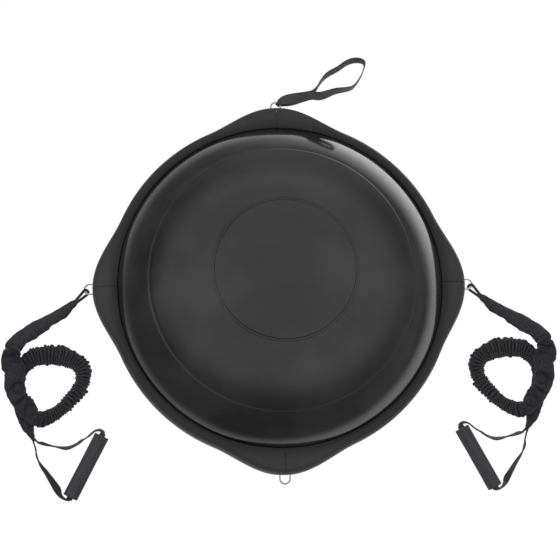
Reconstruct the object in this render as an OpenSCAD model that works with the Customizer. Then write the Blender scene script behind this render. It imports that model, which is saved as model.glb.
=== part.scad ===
// Balance dome trainer: an air dome clamped on a lobed platform, with four D-rings,
// a carry strap and two gathered resistance bands with webbing handles.
// Millimetres, Z up. The origin lies on the floor under the dome's axis,
// and +Y points to the carry strap.

/* [Platform] */
// Radius of the rim between the lobes
rim_r = 296; // [292:1:304]
// Reach of each lobe past the rim
lobe_reach = 24; // [20:1:28]
// Half angle of a lobe in degrees
lobe_half = 24; // [20:1:30]
// Height of the deck above the floor
foot_stand = 6; // [5:0.5:8]
// Radius of a foot
foot_r = 16; // [10:1:20]
// Radius of a foot's stem
foot_stem_r = 4; // [3:0.5:6]
// Distance of the feet's middles from the pan's edge
foot_inset = 28; // [22:1:40]
// Thickness of the bottom deck
deck_t = 4; // [3:0.5:6]
// Height of a raised ring under the deck
ridge_h = 1; // [0.5:0.5:3]
// Width of a raised ring under the deck
ridge_w = 5; // [3:1:8]
// Height of the pan from the deck to its top
pan_h = 28; // [26:1:34]
// Wall, rib and plate thickness of the pan
pan_t = 4; // [3:0.5:5]
// Thickness of the pan's lobed flange
flange_t = 4; // [3:0.5:5]
// Distance of the deck's screws from the axis
deck_screw_circle_r = 210; // [180:1:230]

/* [Dome] */
// Width of the rim between the lobes, from the dome to its edge
rim_w = 21; // [19:0.5:24]
// Rise of the dome above the groove
dome_rise = 145; // [110:1:180]
// Wall of the dome
dome_t = 4; // [3:0.5:5]
// Thickness of the dome's lip
lip_t = 4; // [3:0.5:5]
// Radius of the outer moulded circle
outer_circle_r = 219; // [190:1:240]
// Radius of the inner moulded circle
inner_circle_r = 116; // [90:1:150]
// Width of a moulded circle
circle_w = 6; // [4:0.5:8]
// Depth of a moulded circle
circle_depth = 0.8; // [0.4:0.1:1.2]
// Thickness of the clamp ring
clamp_t = 4; // [3:0.5:6]
// Number of clamp screws
clamp_screw_n = 24; // [12:4:36]

/* [Rim covers] */
// Wall of the covers
cover_t = 3; // [2:0.5:3.5]
// Radius of the bead along the dome
bead_r = 4; // [3.5:0.5:5]
// Height of the bead above the groove
bead_rise = 3; // [2:0.5:5]
// Width of the rounded outer edge
edge_w = 13; // [10:0.5:14]
// Height of the rounded outer edge
edge_h = 20; // [14:1:20]
// Fall of the cover per millimetre towards the lobes
cover_fall = 0.12; // [0.05:0.01:0.15]
// Width of a seam between two covers
seam_gap = 0.8; // [0.4:0.1:1.5]
// Width of the window that a D-ring comes out of
window_w = 26; // [24:1:32]
// Gap between the covers and the dome
groove_gap = 0.6; // [0.4:0.1:1.5]

/* [D-rings] */
// Wire thickness of a D-ring
ring_wire = 3; // [2.5:0.1:3.5]
// Outer width of a D-ring
ring_w = 20; // [18:0.5:22]
// Reach of a D-ring past the lobe
ring_out = 15.6; // [13:0.2:18]
// Height of the D-rings above the floor
ring_z = 20; // [19:0.5:21]
// Sheet thickness of a clip
clip_t = 2; // [1:0.5:2.5]
// Width of a clip
clip_w = 12; // [8:0.5:12]
// Length of a clip's tail
clip_len = 22; // [18:1:24]

/* [Fasteners] */
// Thread diameter of all screws
screw_d = 3; // [2.5:0.5:4]
// Head diameter of all screws
head_d = 6; // [5:0.5:7]
// Head height of all screws
head_h = 2; // [1.5:0.25:2.25]
// Thread length in the piece that a screw holds on to
screw_grip = 10; // [7:0.5:12]

/* [Valve] */
// Radius of the valve body
valve_r = 10; // [8.5:0.5:14]
// Radius of the valve's bore
valve_bore_r = 6; // [4:0.5:7]
// Radius of the valve's flange in the dome
valve_flange_r = 15; // [14.5:0.5:20]
// Radius of the hole in the deck under the valve
access_r = 15; // [12:0.5:20]

/* [Bands] */
// Diameter of the hitch cord
cord_d = 4; // [3:0.1:4.4]
// Diameter of the latex tube
latex_d = 11; // [8:0.5:11.5]
// Number of gathers in the sleeve's loop
gather_n = 40; // [20:1:48]
// Length of the sewn neck
neck_len = 23; // [20:0.5:25]
// Length of the sewn throat
throat_len = 13; // [10:0.5:14]
// Thickness of the handle webbing
web_t = 1.8; // [1.2:0.1:2.2]

/* [Grips] */
// Length of a grip
grip_len = 112; // [90:1:114]
// Diameter of the foam
foam_d = 25; // [22:0.5:25.2]
// Diameter of the core tube
core_d = 17; // [16:0.5:20]
// Bore of the core tube
core_bore_d = 14; // [13:0.5:15]

/* [Carry strap] */
// Thickness of the strap's webbing
strap_t = 2; // [1.4:0.1:2.2]

/* [Hidden] */
$fn = 96;
small_fn = 32;
foot_n = 8;

// Clearances: of stems and pins in their holes, of pieces that stay just clear, and of cuts past a face
fit = 0.05;
seat_gap = 0.3;
over = 1;
// Gaps inside the covers: to the pan's wall, to its flange, and from the dome to the clamp ring
wall_gap = 3;
flange_gap = 1.5;
clamp_gap = 1;
// Material left round screws, and the room past their tips
boss_wall = 3;
tip_room = 1;
// How far the covers hang below the pan
skirt = 2;

// Heights of the stacked platform
deck_z = foot_stand;
pan_z = deck_z + deck_t;
seat_z = pan_z + pan_h;
plate_z = seat_z - pan_t;
lip_top = seat_z + lip_t;
clamp_top = lip_top + clamp_t;
groove_z = clamp_top + bead_r;
cover_top = groove_z + bead_rise;
cover_bottom = pan_z - skirt;

// Radii of the stacked platform
tip_r = rim_r + lobe_reach;
dome_r = rim_r - rim_w;
pan_r = rim_r - cover_t - wall_gap;
foot_circle_r = pan_r - foot_inset;
cover_ri = dome_r + groove_gap;
clamp_ri = dome_r + clamp_gap;
clamp_ro = pan_r - pan_t;
clamp_screw_r = (clamp_ri + clamp_ro) / 2;
clamp_boss_ri = clamp_screw_r - screw_d / 2 - boss_wall;
rib_ring_r = deck_screw_circle_r - pan_t / 2;
hub_r = max(access_r, valve_flange_r) + 2 * boss_wall;
ridge_radii = [80, 120, 160];

// Screws
screw_r = screw_d / 2;
head_r = head_d / 2;
hole_r = screw_r + fit;

// Dome sphere
sphere_r = (dome_r * dome_r + dome_rise * dome_rise) / (2 * dome_rise);
sphere_z = groove_z + dome_rise - sphere_r;

// D-rings, in a frame whose +Y points outwards
wire_r = ring_wire / 2;
bow_r = ring_w / 2 - wire_r;
bar_inset = 6;
bar_r = tip_r - bar_inset;
eye_r = tip_r + ring_out - wire_r - bow_r;
clip_ro = wire_r + fit + clip_t;
clip_z = ring_z - clip_t / 2;
clip_in = bar_r - clip_len;
clip_edge = 2;
clip_screw_r = clip_in + head_r + clip_edge;
ear_gap = 1.5;
ear_side = 4;
ear_r = bar_r - clip_ro - ear_gap;
window_rise = 8;
window_top = ring_z + window_rise;

// Screw posts of the covers, beside each lobe's tip
post_a = 11;
post_r = 4.5;
post_gap = 1;
post_skin = 0.6;
post_circle_r = pan_r + post_gap + post_r;
post_edge = max(0, post_circle_r + post_r - rim(post_a) + edge_w) / edge_w;
post_top = crown(rim(post_a)) - edge_h * (1 - sqrt(1 - post_edge * post_edge)) - post_skin;

// Valve, above and below the pan's plate
valve_below = 6;
valve_z = plate_z - valve_below;
valve_flange_t = 3;
plug_reach = 11;
plug_flange_t = 3;
plug_stem = 4;
knob_t = 2.5;

// Grip frame, beside the eye of a side ring: +X points away from the dome
grip_mid = [4, -297.5, 12.8];
grip_a = 117.3;

// Hitch cord: it pulls at this angle from the ring's outward line, in a plane that leans by hitch_lean,
// close to the wire's inside and with room above and below it
pull_a = 40;
hitch_lean = 20;
hitch_rise = 8;
hitch_gap = 0.8;
hitch_tuck = 3;
hitch_lead = 4;
strand_gap = 0.2;

// Neck and throat of a band: their small and large ends
neck_small_r = 5.5;
neck_large_r = 7.6;
throat_large_r = 7.6;
throat_small_r = 4.8;

// Route of a band's sleeve from its neck to its throat, from the eye of its ring
band_route = [
    [42.5, -35.5, 15.5], [51.5, -42.5, 15], [75, -56.5, 15.5], [98, -73, 21], [117.5, -92, 32],
    [124.5, -115.5, 41], [119.5, -140, 44], [118, -163.5, 44], [110, -185, 44], [97, -204, 42],
    [81.5, -217.5, 32], [67.5, -215, 19], [50.5, -205, 14.5], [31, -186, 14.5], [14, -163, 14.5],
    [10.5, -140.5, 14.5], [22, -122.5, 14.5], [45, -113, 14.5], [67.5, -111, 14.5],
    [89, -114.5, 14.5], [106.5, -126, 14.5], [117.5, -145, 14.5], [118, -167, 14.5],
    [113.5, -189, 14.5], [107, -209, 16], [101, -226, 19], [97.5, -235.5, 17], [95, -242, 12.5]
];
// Where the gathers start and end along that route, and the sleeve's radius and ripple along it
gather_from = 10.2;
gather_to = 19.6;
sleeve_r = [
    [0, 8], [1, 10.4], [2, 12], [4, 12.8], [8, 12.8], [9.5, 12], [10.5, 11], [13, 11.4], [15, 12.6],
    [19, 12.6], [20, 11.8], [24, 11.6], [25, 10.4], [26, 9], [27, 8]
];
sleeve_ripple = [[0, 0], [1, 0.5], [9, 0.8], [11, 1.5], [19, 1.6], [21, 0.9], [24, 0.6], [27, 0]];
sleeve_bore_r = 7;
sleeve_wall = 1.2;
bore_step = 4;
plain_step = 0.44;
tube_sides = 8;
smooth_n = 2;

// Route of the handle webbing from the throat through the grip and back, from the eye of its ring:
// place, width, and the heading and rise of its width. In the grip it just clears the bore.
grip_web_w = 2 * sqrt(pow(core_bore_d / 2 - seat_gap, 2) - pow(web_t / 2, 2));
web_route = [
    [92, -247.5, 9.4, 9, 347, 90], [85.5, -255, 8.4, 11, 330, 86], [79.5, -257, 9, 14, 290, 72],
    [69, -260.5, 9.6, 17, 272, 78], [56, -263.5, 9.8, 18, 268, 86], [37, -266.5, 9.8, 18, 268, 70],
    [23, -262, 9.8, 18, 258, 72], [13, -255.5, 10, 18, 245, 72], [6, -251.5, 10.6, 17, 238, 84],
    [-1, -246.5, 11.6, 16, 232, 76], [-9, -240, 13, 14, 236, 76],
    [-16.5, -238, 13.4, 12.5, 262, 72], [-22, -240, 13.2, 11.5, 325, 70],
    [-23.5, -244, 12.8, 11.5, 383, 60], [-21, -249, 12.8, grip_web_w, 387, 50],
    [29, -346, 12.8, grip_web_w, 387, 50], [31.5, -350, 12.7, 11.5, 390, 56],
    [35, -351, 12.2, 12, 412, 68], [40, -349, 11, 13, 450, 70], [46, -343.5, 9.8, 15, 490, 58],
    [51, -334.5, 8.6, 17, 510, 42], [59.5, -321.5, 8.6, 18, 513, 52],
    [69.5, -306.5, 9.2, 18, 510, 62], [79.5, -293, 9.6, 17, 510, 72],
    [85.5, -280, 9.6, 15, 515, 88], [88, -267, 8.6, 12, 525, 78], [94, -248.5, 9.4, 9, 527, 90]
];

// Route of the carry strap from the north ring's bow round the hand loop and back under itself,
// from the eye of that ring: place, width, and the heading and rise of its width
strap_points = [
    [10, 10, 22, 13, 128, 2], [19, 14, 18.6, 18, 112, 6], [32, 17, 15.4, 20, 100, 16],
    [52, 21, 13.4, 20, 98, 55], [66.5, 24, 12.4, 20, 98, 65], [84, 24.5, 11, 20, 104, 62],
    [108.5, 33, 10.8, 20, 106, 76], [126.5, 36, 10.8, 20, 106, 84], [140, 40, 10.8, 20, 130, 88],
    [151.5, 53, 10.8, 20, 150, 90], [160.5, 70.5, 10.8, 20, 150, 90],
    [163.5, 86.5, 10.8, 20, 100, 90], [150.5, 92, 10.8, 20, 95, 84], [133, 88, 10.8, 20, 118, 80],
    [114.5, 75.5, 10.8, 20, 122, 80], [95, 64, 10.8, 20, 128, 80], [83.5, 51.5, 10.8, 20, 135, 86],
    [76, 39.5, 10.8, 20, 140, 88], [67, 28.5, 10.8, 20, 112, 70], [51.5, 24, 10, 20, 100, 58],
    [32.5, 18, 9.8, 20, 100, 16], [19.5, 13, 12.5, 18, 112, 6], [10.5, 8.5, 16, 13, 128, 2]
];
// Turn of the strap round the bow's wire, gathered to strap_eye_w and pulling at strap_a from +X
strap_a = 50;
strap_eye_w = 8;
strap_gap = 0.6;
strap_turn_r = wire_r + strap_t / 2 + strap_gap;
strap_bow_r = sqrt(bow_r * bow_r - strap_eye_w * strap_eye_w / 4);
function strap_turn(a) = let (r = strap_bow_r + strap_turn_r * cos(a))
    [r * cos(strap_a), r * sin(strap_a), ring_z + strap_turn_r * sin(a), strap_eye_w, strap_a + 90, 0];
strap_route = concat(
    [strap_turn(90)],
    strap_points,
    [for (a = [270:-45:135]) strap_turn(a)]
);

// Reach of the rim at an angle, with a lobe at each quarter
function from_lobe(a) = abs((a + 45) % 90 - 45);
function lobe(a) = from_lobe(a) < lobe_half ? (1 + cos(180 * from_lobe(a) / lobe_half)) / 2 : 0;
function rim(a) = rim_r + lobe_reach * lobe(a);

// Height of the covers where their edge starts to round off, for a reach of the rim
function crown(reach) = cover_top - cover_fall * (reach - edge_w - cover_ri - bead_r);

// Curves through points, and frames along them
function unit(v) = v / norm(v);
function place(p) = [p[0], p[1], p[2]];
function between(p, i, t) = let (
    a = p[max(i - 1, 0)],
    b = p[i],
    c = p[min(i + 1, len(p) - 1)],
    d = p[min(i + 2, len(p) - 1)]
) (2 * b + (c - a) * t + (2 * a - 5 * b + 4 * c - d) * t * t + (3 * b - a - 3 * c + d) * t * t * t) / 2;
function at(p, u) = let (i = min(floor(u), len(p) - 2)) between(p, i, u - i);
function smooth(p, n) = [for (k = [0:(len(p) - 1) * n]) at(p, k / n)];
function heading(p, i) = unit(place(p[min(i + 1, len(p) - 1)]) - place(p[max(i - 1, 0)]));
function square_to(v, t) = unit(v - (v * t) * t);

function headings(p) = [for (i = [0:len(p) - 1]) heading(p, i)];

// One ring of points about a tube's centre, square to its way there
function tube_ring(centre, way, r, ref, sides) = let (
    s = square_to(ref, way),
    u = cross(way, s)
) [for (j = [0:sides - 1]) centre + r * (cos(360 * j / sides) * s + sin(360 * j / sides) * u)];
function tube_points(p, ways, radii, ref, sides) = [
    for (i = [0:len(p) - 1]) each tube_ring(p[i], ways[i], radii[i], ref, sides)
];

// Triangles between successive rings, with outward faces, or inward ones when turned
function skin(rings, sides, from, turned) = [
    for (i = [0:rings - 2]) for (j = [0:sides - 1]) for (half = [0, 1]) let (
        a = from + i * sides + j,
        b = from + i * sides + (j + 1) % sides,
        c = b + sides,
        d = a + sides
    ) turned ? (half == 0 ? [a, c, d] : [a, b, c]) : (half == 0 ? [a, d, c] : [a, c, b])
];
function fan(sides, from, turned) = [
    for (j = [1:sides - 2]) turned ? [from, from + j + 1, from + j] : [from, from + j, from + j + 1]
];
function annulus(sides, outer, inner, turned) = [
    for (j = [0:sides - 1]) for (half = [0, 1]) let (
        k = (j + 1) % sides,
        tri = half == 0 ? [outer + j, outer + k, inner + k] : [outer + j, inner + k, inner + j]
    ) turned ? [tri[0], tri[2], tri[1]] : tri
];

// Solid tube along points, with a way and a radius for each
module tube(p, ways, radii, ref, sides) {
    n = len(p);
    points = tube_points(p, ways, radii, ref, sides);
    ends = concat(fan(sides, 0, false), fan(sides, (n - 1) * sides, true));
    polyhedron(points, concat(skin(n, sides, 0, false), ends));
}

// Hollow tube from the points of its outside and of its bore, which has sparser rings
module hollow_tube(outside, bore, sides) {
    n = len(outside) / sides;
    m = len(bore) / sides;
    start = n * sides;
    polyhedron(concat(outside, bore), concat(
        skin(n, sides, 0, false),
        skin(m, sides, start, true),
        annulus(sides, 0, start, false),
        annulus(sides, start - sides, start + (m - 1) * sides, true)
    ));
}

// Four corners of a strip's section at one point of its route
function strip_ring(p, i, t, thick) = let (
    az = p[i][4],
    el = p[i][5],
    w = square_to([cos(el) * cos(az), cos(el) * sin(az), sin(el)], t),
    n = cross(t, w),
    half = p[i][3] / 2
) [for (c = [[-1, -1], [1, -1], [1, 1], [-1, 1]]) place(p[i]) + c[0] * half * w + c[1] * thick / 2 * n];

// Webbing strip along a route with two free ends
module strip(p, thick) {
    n = len(p);
    points = [for (i = [0:n - 1]) each strip_ring(p, i, heading(p, i), thick)];
    polyhedron(points, concat(skin(n, 4, 0, false), fan(4, 0, false), fan(4, (n - 1) * 4, true)));
}

// Webbing strip along a route that closes on itself
module closed_strip(p, thick) {
    n = len(p);
    points = [for (i = [0:n - 1]) each strip_ring(
        p, i, unit(place(p[(i + 1) % n]) - place(p[(i + n - 1) % n])), thick)];
    last = (n - 1) * 4;
    closing = [for (j = [0:3]) for (half = [0, 1]) let (k = (j + 1) % 4)
        half == 0 ? [last + j, j, k] : [last + j, k, last + k]];
    polyhedron(points, concat(skin(n, 4, 0, false), closing));
}

// Round bar or cone from one point to another
module rod(a, b, r1, r2) {
    v = b - a;
    translate(a)
        rotate([0, acos(v[2] / norm(v)), atan2(v[1], v[0])])
            cylinder(h = norm(v), r1 = r1, r2 = r2);
}

module ring_wall(ri, ro, z0, z1) {
    translate([0, 0, z0]) difference() {
        cylinder(h = z1 - z0, r = ro);
        translate([0, 0, -over]) cylinder(h = z1 - z0 + 2 * over, r = ri);
    }
}

// Copies round the axis, at a radius on +Y turned by each angle
module around(angles, r, z) {
    for (a = angles) rotate(a) translate([0, r, z]) children();
}

// Screw holes round the axis, from below z by a depth, open at both ends
module holes(angles, r, z, depth) {
    around(angles, r, z - over) cylinder(h = depth + 2 * over, r = hole_r, $fn = small_fn);
}

rib_angles = [for (i = [0:foot_n - 1]) i * 360 / foot_n];
mid_angles = [for (i = [0:foot_n - 1]) (i + 0.5) * 360 / foot_n];
quarter_angles = [0, 90, 180, 270];
post_angles = [for (a = quarter_angles) for (s = [-1, 1]) a + s * post_a];
clamp_angles = [for (i = [0:clamp_screw_n - 1]) (i + 0.5) * 360 / clamp_screw_n];

module screw(head_z, tip_z, down) {
    low = min(head_z, tip_z);
    translate([0, 0, low]) cylinder(h = abs(head_z - tip_z), r = screw_r, $fn = small_fn);
    translate([0, 0, down ? head_z : head_z - head_h]) cylinder(h = head_h, r = head_r, $fn = small_fn);
}

module foot(i) {
    color("#1b1b1b") rotate(mid_angles[i - 1]) translate([0, foot_circle_r, 0]) {
        cylinder(h = deck_z, r = foot_r);
        cylinder(h = pan_z - seat_gap, r = foot_stem_r);
    }
}

module platform_deck() {
    color("#2a2a2c") difference() {
        union() {
            translate([0, 0, deck_z]) cylinder(h = deck_t, r = pan_r);
            for (r = ridge_radii) ring_wall(r, r + ridge_w, deck_z - ridge_h, deck_z + deck_t / 2);
        }
        translate([0, 0, deck_z - over]) cylinder(h = deck_t + 2 * over, r = access_r);
        around(mid_angles, foot_circle_r, deck_z - over)
            cylinder(h = deck_t + 2 * over, r = foot_stem_r + fit);
        holes(mid_angles, deck_screw_circle_r, deck_z, deck_t);
    }
}

module deck_screws() {
    color("#8d8f92") around(mid_angles, deck_screw_circle_r, 0)
        screw(deck_z, pan_z + screw_grip, false);
}

// Lobed outline of the pan's flange, cut back under each window
notch_a = asin((window_w / 2 + over) / tip_r);
flange_steps = 36;
flange_step = (90 - 2 * notch_a) / flange_steps;
function flange_point(a) = (rim(a + 360) - cover_t - flange_gap) * [cos(a), sin(a)];
flange_outline = [for (q = quarter_angles) each concat(
    [for (a = [q - notch_a, q, q + notch_a]) ear_r * [cos(a), sin(a)]],
    [for (k = [0:flange_steps]) flange_point(q + notch_a + k * flange_step)]
)];

module platform_pan() {
    color("#2a2a2c") difference() {
        union() {
            translate([0, 0, plate_z]) cylinder(h = pan_t, r = pan_r);
            ring_wall(pan_r - pan_t, pan_r, pan_z, seat_z);
            ring_wall(clamp_boss_ri, pan_r - over, plate_z - screw_grip, seat_z - over);
            translate([0, 0, pan_z]) linear_extrude(flange_t) difference() {
                polygon(flange_outline);
                circle(r = pan_r - pan_t / 2);
            }
            around(quarter_angles, pan_r - pan_t / 2, pan_z)
                translate([-clip_w / 2 - ear_side, 0, 0])
                    cube([clip_w + 2 * ear_side, ear_r - pan_r + pan_t / 2, clip_z - pan_z]);
        }
        translate([0, 0, plate_z - over]) cylinder(h = pan_t + 2 * over, r = valve_r + fit);
        holes(clamp_angles, clamp_screw_r, plate_z - screw_grip, pan_t + screw_grip);
        holes(post_angles, post_circle_r, pan_z, flange_t);
        holes(quarter_angles, clip_screw_r, pan_z, clip_z - pan_z);
    }
}

// Quarter of the ribs under the pan's plate: two ribs, two screw bosses and the rings that join them
module rib_frame(q) {
    first = foot_n / 4 * q;
    picks = [first:first + foot_n / 4 - 1];
    rib_len = clamp_boss_ri - seat_gap - hub_r - over;
    color("#2a2a2c") difference() {
        translate([0, 0, pan_z]) linear_extrude(plate_z - pan_z) {
            intersection() {
                for (r = [hub_r, rib_ring_r]) difference() {
                    circle(r = r + pan_t);
                    circle(r = r);
                }
                rotate(90 * q - 90 / foot_n) translate([-pan_r, seat_gap])
                    square([pan_r - seat_gap, pan_r]);
            }
            for (i = picks) rotate(rib_angles[i]) translate([-pan_t / 2, hub_r + over])
                square([pan_t, rib_len]);
            for (i = picks) rotate(mid_angles[i]) translate([0, deck_screw_circle_r])
                circle(r = screw_r + boss_wall);
        }
        holes([for (i = picks) mid_angles[i]], deck_screw_circle_r, pan_z, screw_grip);
    }
}

// Shallow round groove pressed into the dome at a radius
module moulded_circle(r) {
    tool_r = (circle_w * circle_w / 4 + circle_depth * circle_depth) / (2 * circle_depth);
    reach = sphere_r + tool_r - circle_depth;
    lift = acos(r / sphere_r);
    rotate_extrude() translate([reach * cos(lift), sphere_z + reach * sin(lift)]) circle(r = tool_r);
}

module dome_shell() {
    color("#1c1c1e") difference() {
        union() {
            difference() {
                translate([0, 0, sphere_z]) sphere(r = sphere_r, $fn = 2 * $fn);
                translate([0, 0, sphere_z]) sphere(r = sphere_r - dome_t, $fn = 2 * $fn);
                translate([0, 0, groove_z - 2 * sphere_r]) cube(4 * sphere_r, center = true);
            }
            ring_wall(dome_r - dome_t, dome_r, seat_z, groove_z);
            ring_wall(dome_r - dome_t, clamp_ro, seat_z, lip_top);
        }
        moulded_circle(outer_circle_r);
        moulded_circle(inner_circle_r);
        holes(clamp_angles, clamp_screw_r, seat_z, lip_t);
    }
}

module clamp_ring() {
    color("#333336") difference() {
        ring_wall(clamp_ri, clamp_ro, lip_top, clamp_top);
        holes(clamp_angles, clamp_screw_r, lip_top, clamp_t);
        around(clamp_angles, clamp_screw_r, clamp_top - head_h)
            cylinder(h = head_h + over, r = head_r + fit, $fn = small_fn);
    }
}

module clamp_screws() {
    color("#8d8f92") around(clamp_angles, clamp_screw_r, 0)
        screw(clamp_top - head_h, plate_z - screw_grip + tip_room, true);
}

// Outer line of a cover's section at a reach, from the bead's foot to the bottom of its wall,
// or its inner line, set in by the wall
function cover_line(reach, bottom, wall) = let (
    bead = [cover_ri + bead_r, cover_top - bead_r],
    edge = [reach - edge_w, crown(reach) - edge_h]
) concat(
    [[cover_ri + wall, clamp_top]],
    [for (t = [0, 45, 90]) bead + (bead_r - wall) * [-cos(t), sin(t)]],
    [for (t = [0:22.5:90]) edge + [(edge_w - wall) * sin(t), (edge_h - wall) * cos(t)]],
    [[reach - wall, bottom]]
);

// Angles of a cover's sections within its quarter, and the bottom of its wall at each
seam_a = asin(seam_gap / 2 / tip_r);
window_a = asin(window_w / 2 / tip_r);
window_step = 0.03;
cover_steps = 39;
cover_step = (90 - 2 * window_a) / cover_steps;
cover_stations = concat(
    [[seam_a, window_top], [window_a, window_top], [window_a + window_step, cover_bottom]],
    [for (k = [1:cover_steps - 1]) [window_a + k * cover_step, cover_bottom]],
    [[90 - window_a - window_step, cover_bottom], [90 - window_a, window_top], [90 - seam_a, window_top]]
);

function cover_points(s) = let (
    reach = rim(s[0]),
    outer = cover_line(reach, s[1], 0),
    inner = cover_line(reach, s[1], cover_t),
    loop = concat(outer, [for (i = [len(inner) - 1:-1:0]) inner[i]])
) [for (q = loop) [q[0] * cos(s[0]), q[0] * sin(s[0]), q[1]]];

module cover_skin() {
    n = len(cover_stations);
    half = len(cover_line(tip_r, 0, 0));
    sides = 2 * half;
    points = [for (s = cover_stations) each cover_points(s)];
    cap = [for (i = [0:half - 2]) for (k = [0, 1])
        k == 0 ? [i, i + 1, sides - 2 - i] : [i, sides - 2 - i, sides - 1 - i]];
    last = (n - 1) * sides;
    polyhedron(points, concat(
        skin(n, sides, 0, false),
        cap,
        [for (f = cap) [f[0] + last, f[2] + last, f[1] + last]]
    ));
}

// Quarter cover of the rim with a screw post beside each lobe, turned from the quarter between +X and +Y
module cover(turn) {
    foot_z = pan_z + flange_t;
    own_posts = [-90 + post_a, -post_a];
    color("#3c3c3e") rotate(turn) difference() {
        union() {
            cover_skin();
            around(own_posts, post_circle_r, foot_z)
                cylinder(h = post_top - foot_z, r = post_r, $fn = small_fn);
        }
        holes(own_posts, post_circle_r, foot_z, screw_grip);
    }
}

module cover_screws() {
    color("#8d8f92") around(post_angles, post_circle_r, 0)
        screw(pan_z, pan_z + flange_t + screw_grip, false);
}

// Wire D-ring with its bar in a clip, on +Y turned by an angle
module d_ring(turn) {
    color("#c9ccd0") rotate(turn) translate([0, bar_r, ring_z]) {
        rotate([0, 90, 0]) cylinder(h = 2 * bow_r, r = wire_r, center = true, $fn = small_fn);
        for (s = [-1, 1]) translate([s * bow_r, 0, 0]) {
            sphere(r = wire_r, $fn = small_fn);
            rotate([-90, 0, 0]) cylinder(h = eye_r - bar_r, r = wire_r, $fn = small_fn);
        }
        translate([0, eye_r - bar_r, 0]) rotate_extrude(angle = 180)
            translate([bow_r, 0]) circle(r = wire_r, $fn = small_fn);
    }
}

module ring_clip(turn) {
    color("#9a9da1") rotate(turn) difference() {
        union() {
            translate([0, bar_r, ring_z]) rotate([0, 90, 0])
                cylinder(h = clip_w, r = clip_ro, center = true);
            translate([-clip_w / 2, clip_in, clip_z]) cube([clip_w, clip_len, clip_t]);
        }
        translate([0, bar_r, ring_z]) rotate([0, 90, 0])
            cylinder(h = clip_w + 2 * over, r = wire_r + fit, center = true);
        holes([0], clip_screw_r, clip_z, clip_t);
    }
}

module clip_screws() {
    color("#8d8f92") around(quarter_angles, clip_screw_r, 0)
        screw(clip_z + clip_t, pan_z + tip_room, true);
}

module valve_body() {
    color("#dcdcdc") difference() {
        union() {
            translate([0, 0, valve_z]) cylinder(h = seat_z - valve_z, r = valve_r);
            translate([0, 0, seat_z]) cylinder(h = valve_flange_t, r = valve_flange_r);
        }
        translate([0, 0, valve_z - over])
            cylinder(h = seat_z + valve_flange_t - valve_z + 2 * over, r = valve_bore_r);
    }
}

// Plug with its flange against the body's lower end and a knob on a stem to pull it by
module valve_plug() {
    flange_z = valve_z - seat_gap - plug_flange_t;
    knob_z = flange_z - plug_stem - knob_t;
    shaft_len = plug_flange_t + seat_gap + plug_reach;
    color("#f0f0f0") {
        translate([0, 0, flange_z]) cylinder(h = shaft_len, r = valve_bore_r - fit);
        translate([0, 0, flange_z]) cylinder(h = plug_flange_t, r = valve_r);
        translate([0, 0, knob_z]) cylinder(h = knob_t + plug_stem + over, r = valve_bore_r / 2);
        translate([0, 0, knob_z]) cylinder(h = knob_t, r = valve_bore_r);
    }
}

module carry_strap() {
    color("#4a4a4c") translate([0, eye_r, 0]) closed_strip(smooth(strap_route, smooth_n), strap_t);
}

// Band frame: the eye of the east ring, with +X away from the dome, mirrored for the west band
module on_side(side) {
    mirror([side == "w" ? 1 : 0, 0, 0]) translate([eye_r, 0, 0]) children();
}

// Places of the sleeve's rings along its route: two for each gather, wider apart elsewhere
lead_n = round(gather_from / plain_step);
tail_n = round((len(band_route) - 1 - gather_to) / plain_step);
sleeve_places = concat(
    [for (k = [0:lead_n - 1]) k * gather_from / lead_n],
    [for (k = [0:2 * gather_n - 1]) gather_from + k * (gather_to - gather_from) / (2 * gather_n)],
    [for (k = [0:tail_n]) gather_to + k * (len(band_route) - 1 - gather_to) / tail_n]
);
sleeve_path = [for (u = sleeve_places) at(band_route, u)];
function ripple(k) = (k % 2 == 0 ? 1 : -1) * lookup(sleeve_places[k], sleeve_ripple);
sleeve_radii = [for (k = [0:len(sleeve_places) - 1]) lookup(sleeve_places[k], sleeve_r) + ripple(k)];
bore_picks = concat([for (k = [0:bore_step:len(sleeve_path) - bore_step]) k], [len(sleeve_path) - 1]);
bore_path = [for (k = bore_picks) sleeve_path[k]];
sleeve_ways = headings(sleeve_path);
bore_ways = [for (k = bore_picks) sleeve_ways[k]];
bore_radii = [for (k = bore_picks) min(sleeve_bore_r, lookup(sleeve_places[k], sleeve_r) - sleeve_wall)];
up = [0, 0, 1];

module band_sleeve(side) {
    color("#2c2c31") on_side(side) hollow_tube(
        tube_points(sleeve_path, sleeve_ways, sleeve_radii, up, tube_sides),
        tube_points(bore_path, bore_ways, bore_radii, up, tube_sides),
        tube_sides
    );
}

module band_tube(side) {
    color("#161616") on_side(side)
        tube(bore_path, bore_ways, [for (p = bore_path) latex_d / 2], up, tube_sides);
}

// The throat carries on in line with the sleeve's end
sleeve_last = len(sleeve_path) - 1;
throat_way = sleeve_ways[sleeve_last];
throat_start = sleeve_path[sleeve_last] + seat_gap * throat_way;

module band_throat(side) {
    throat_end = throat_start + throat_len * throat_way;
    color("#2c2c31") on_side(side) rod(throat_start, throat_end, throat_large_r, throat_small_r);
}

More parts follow.
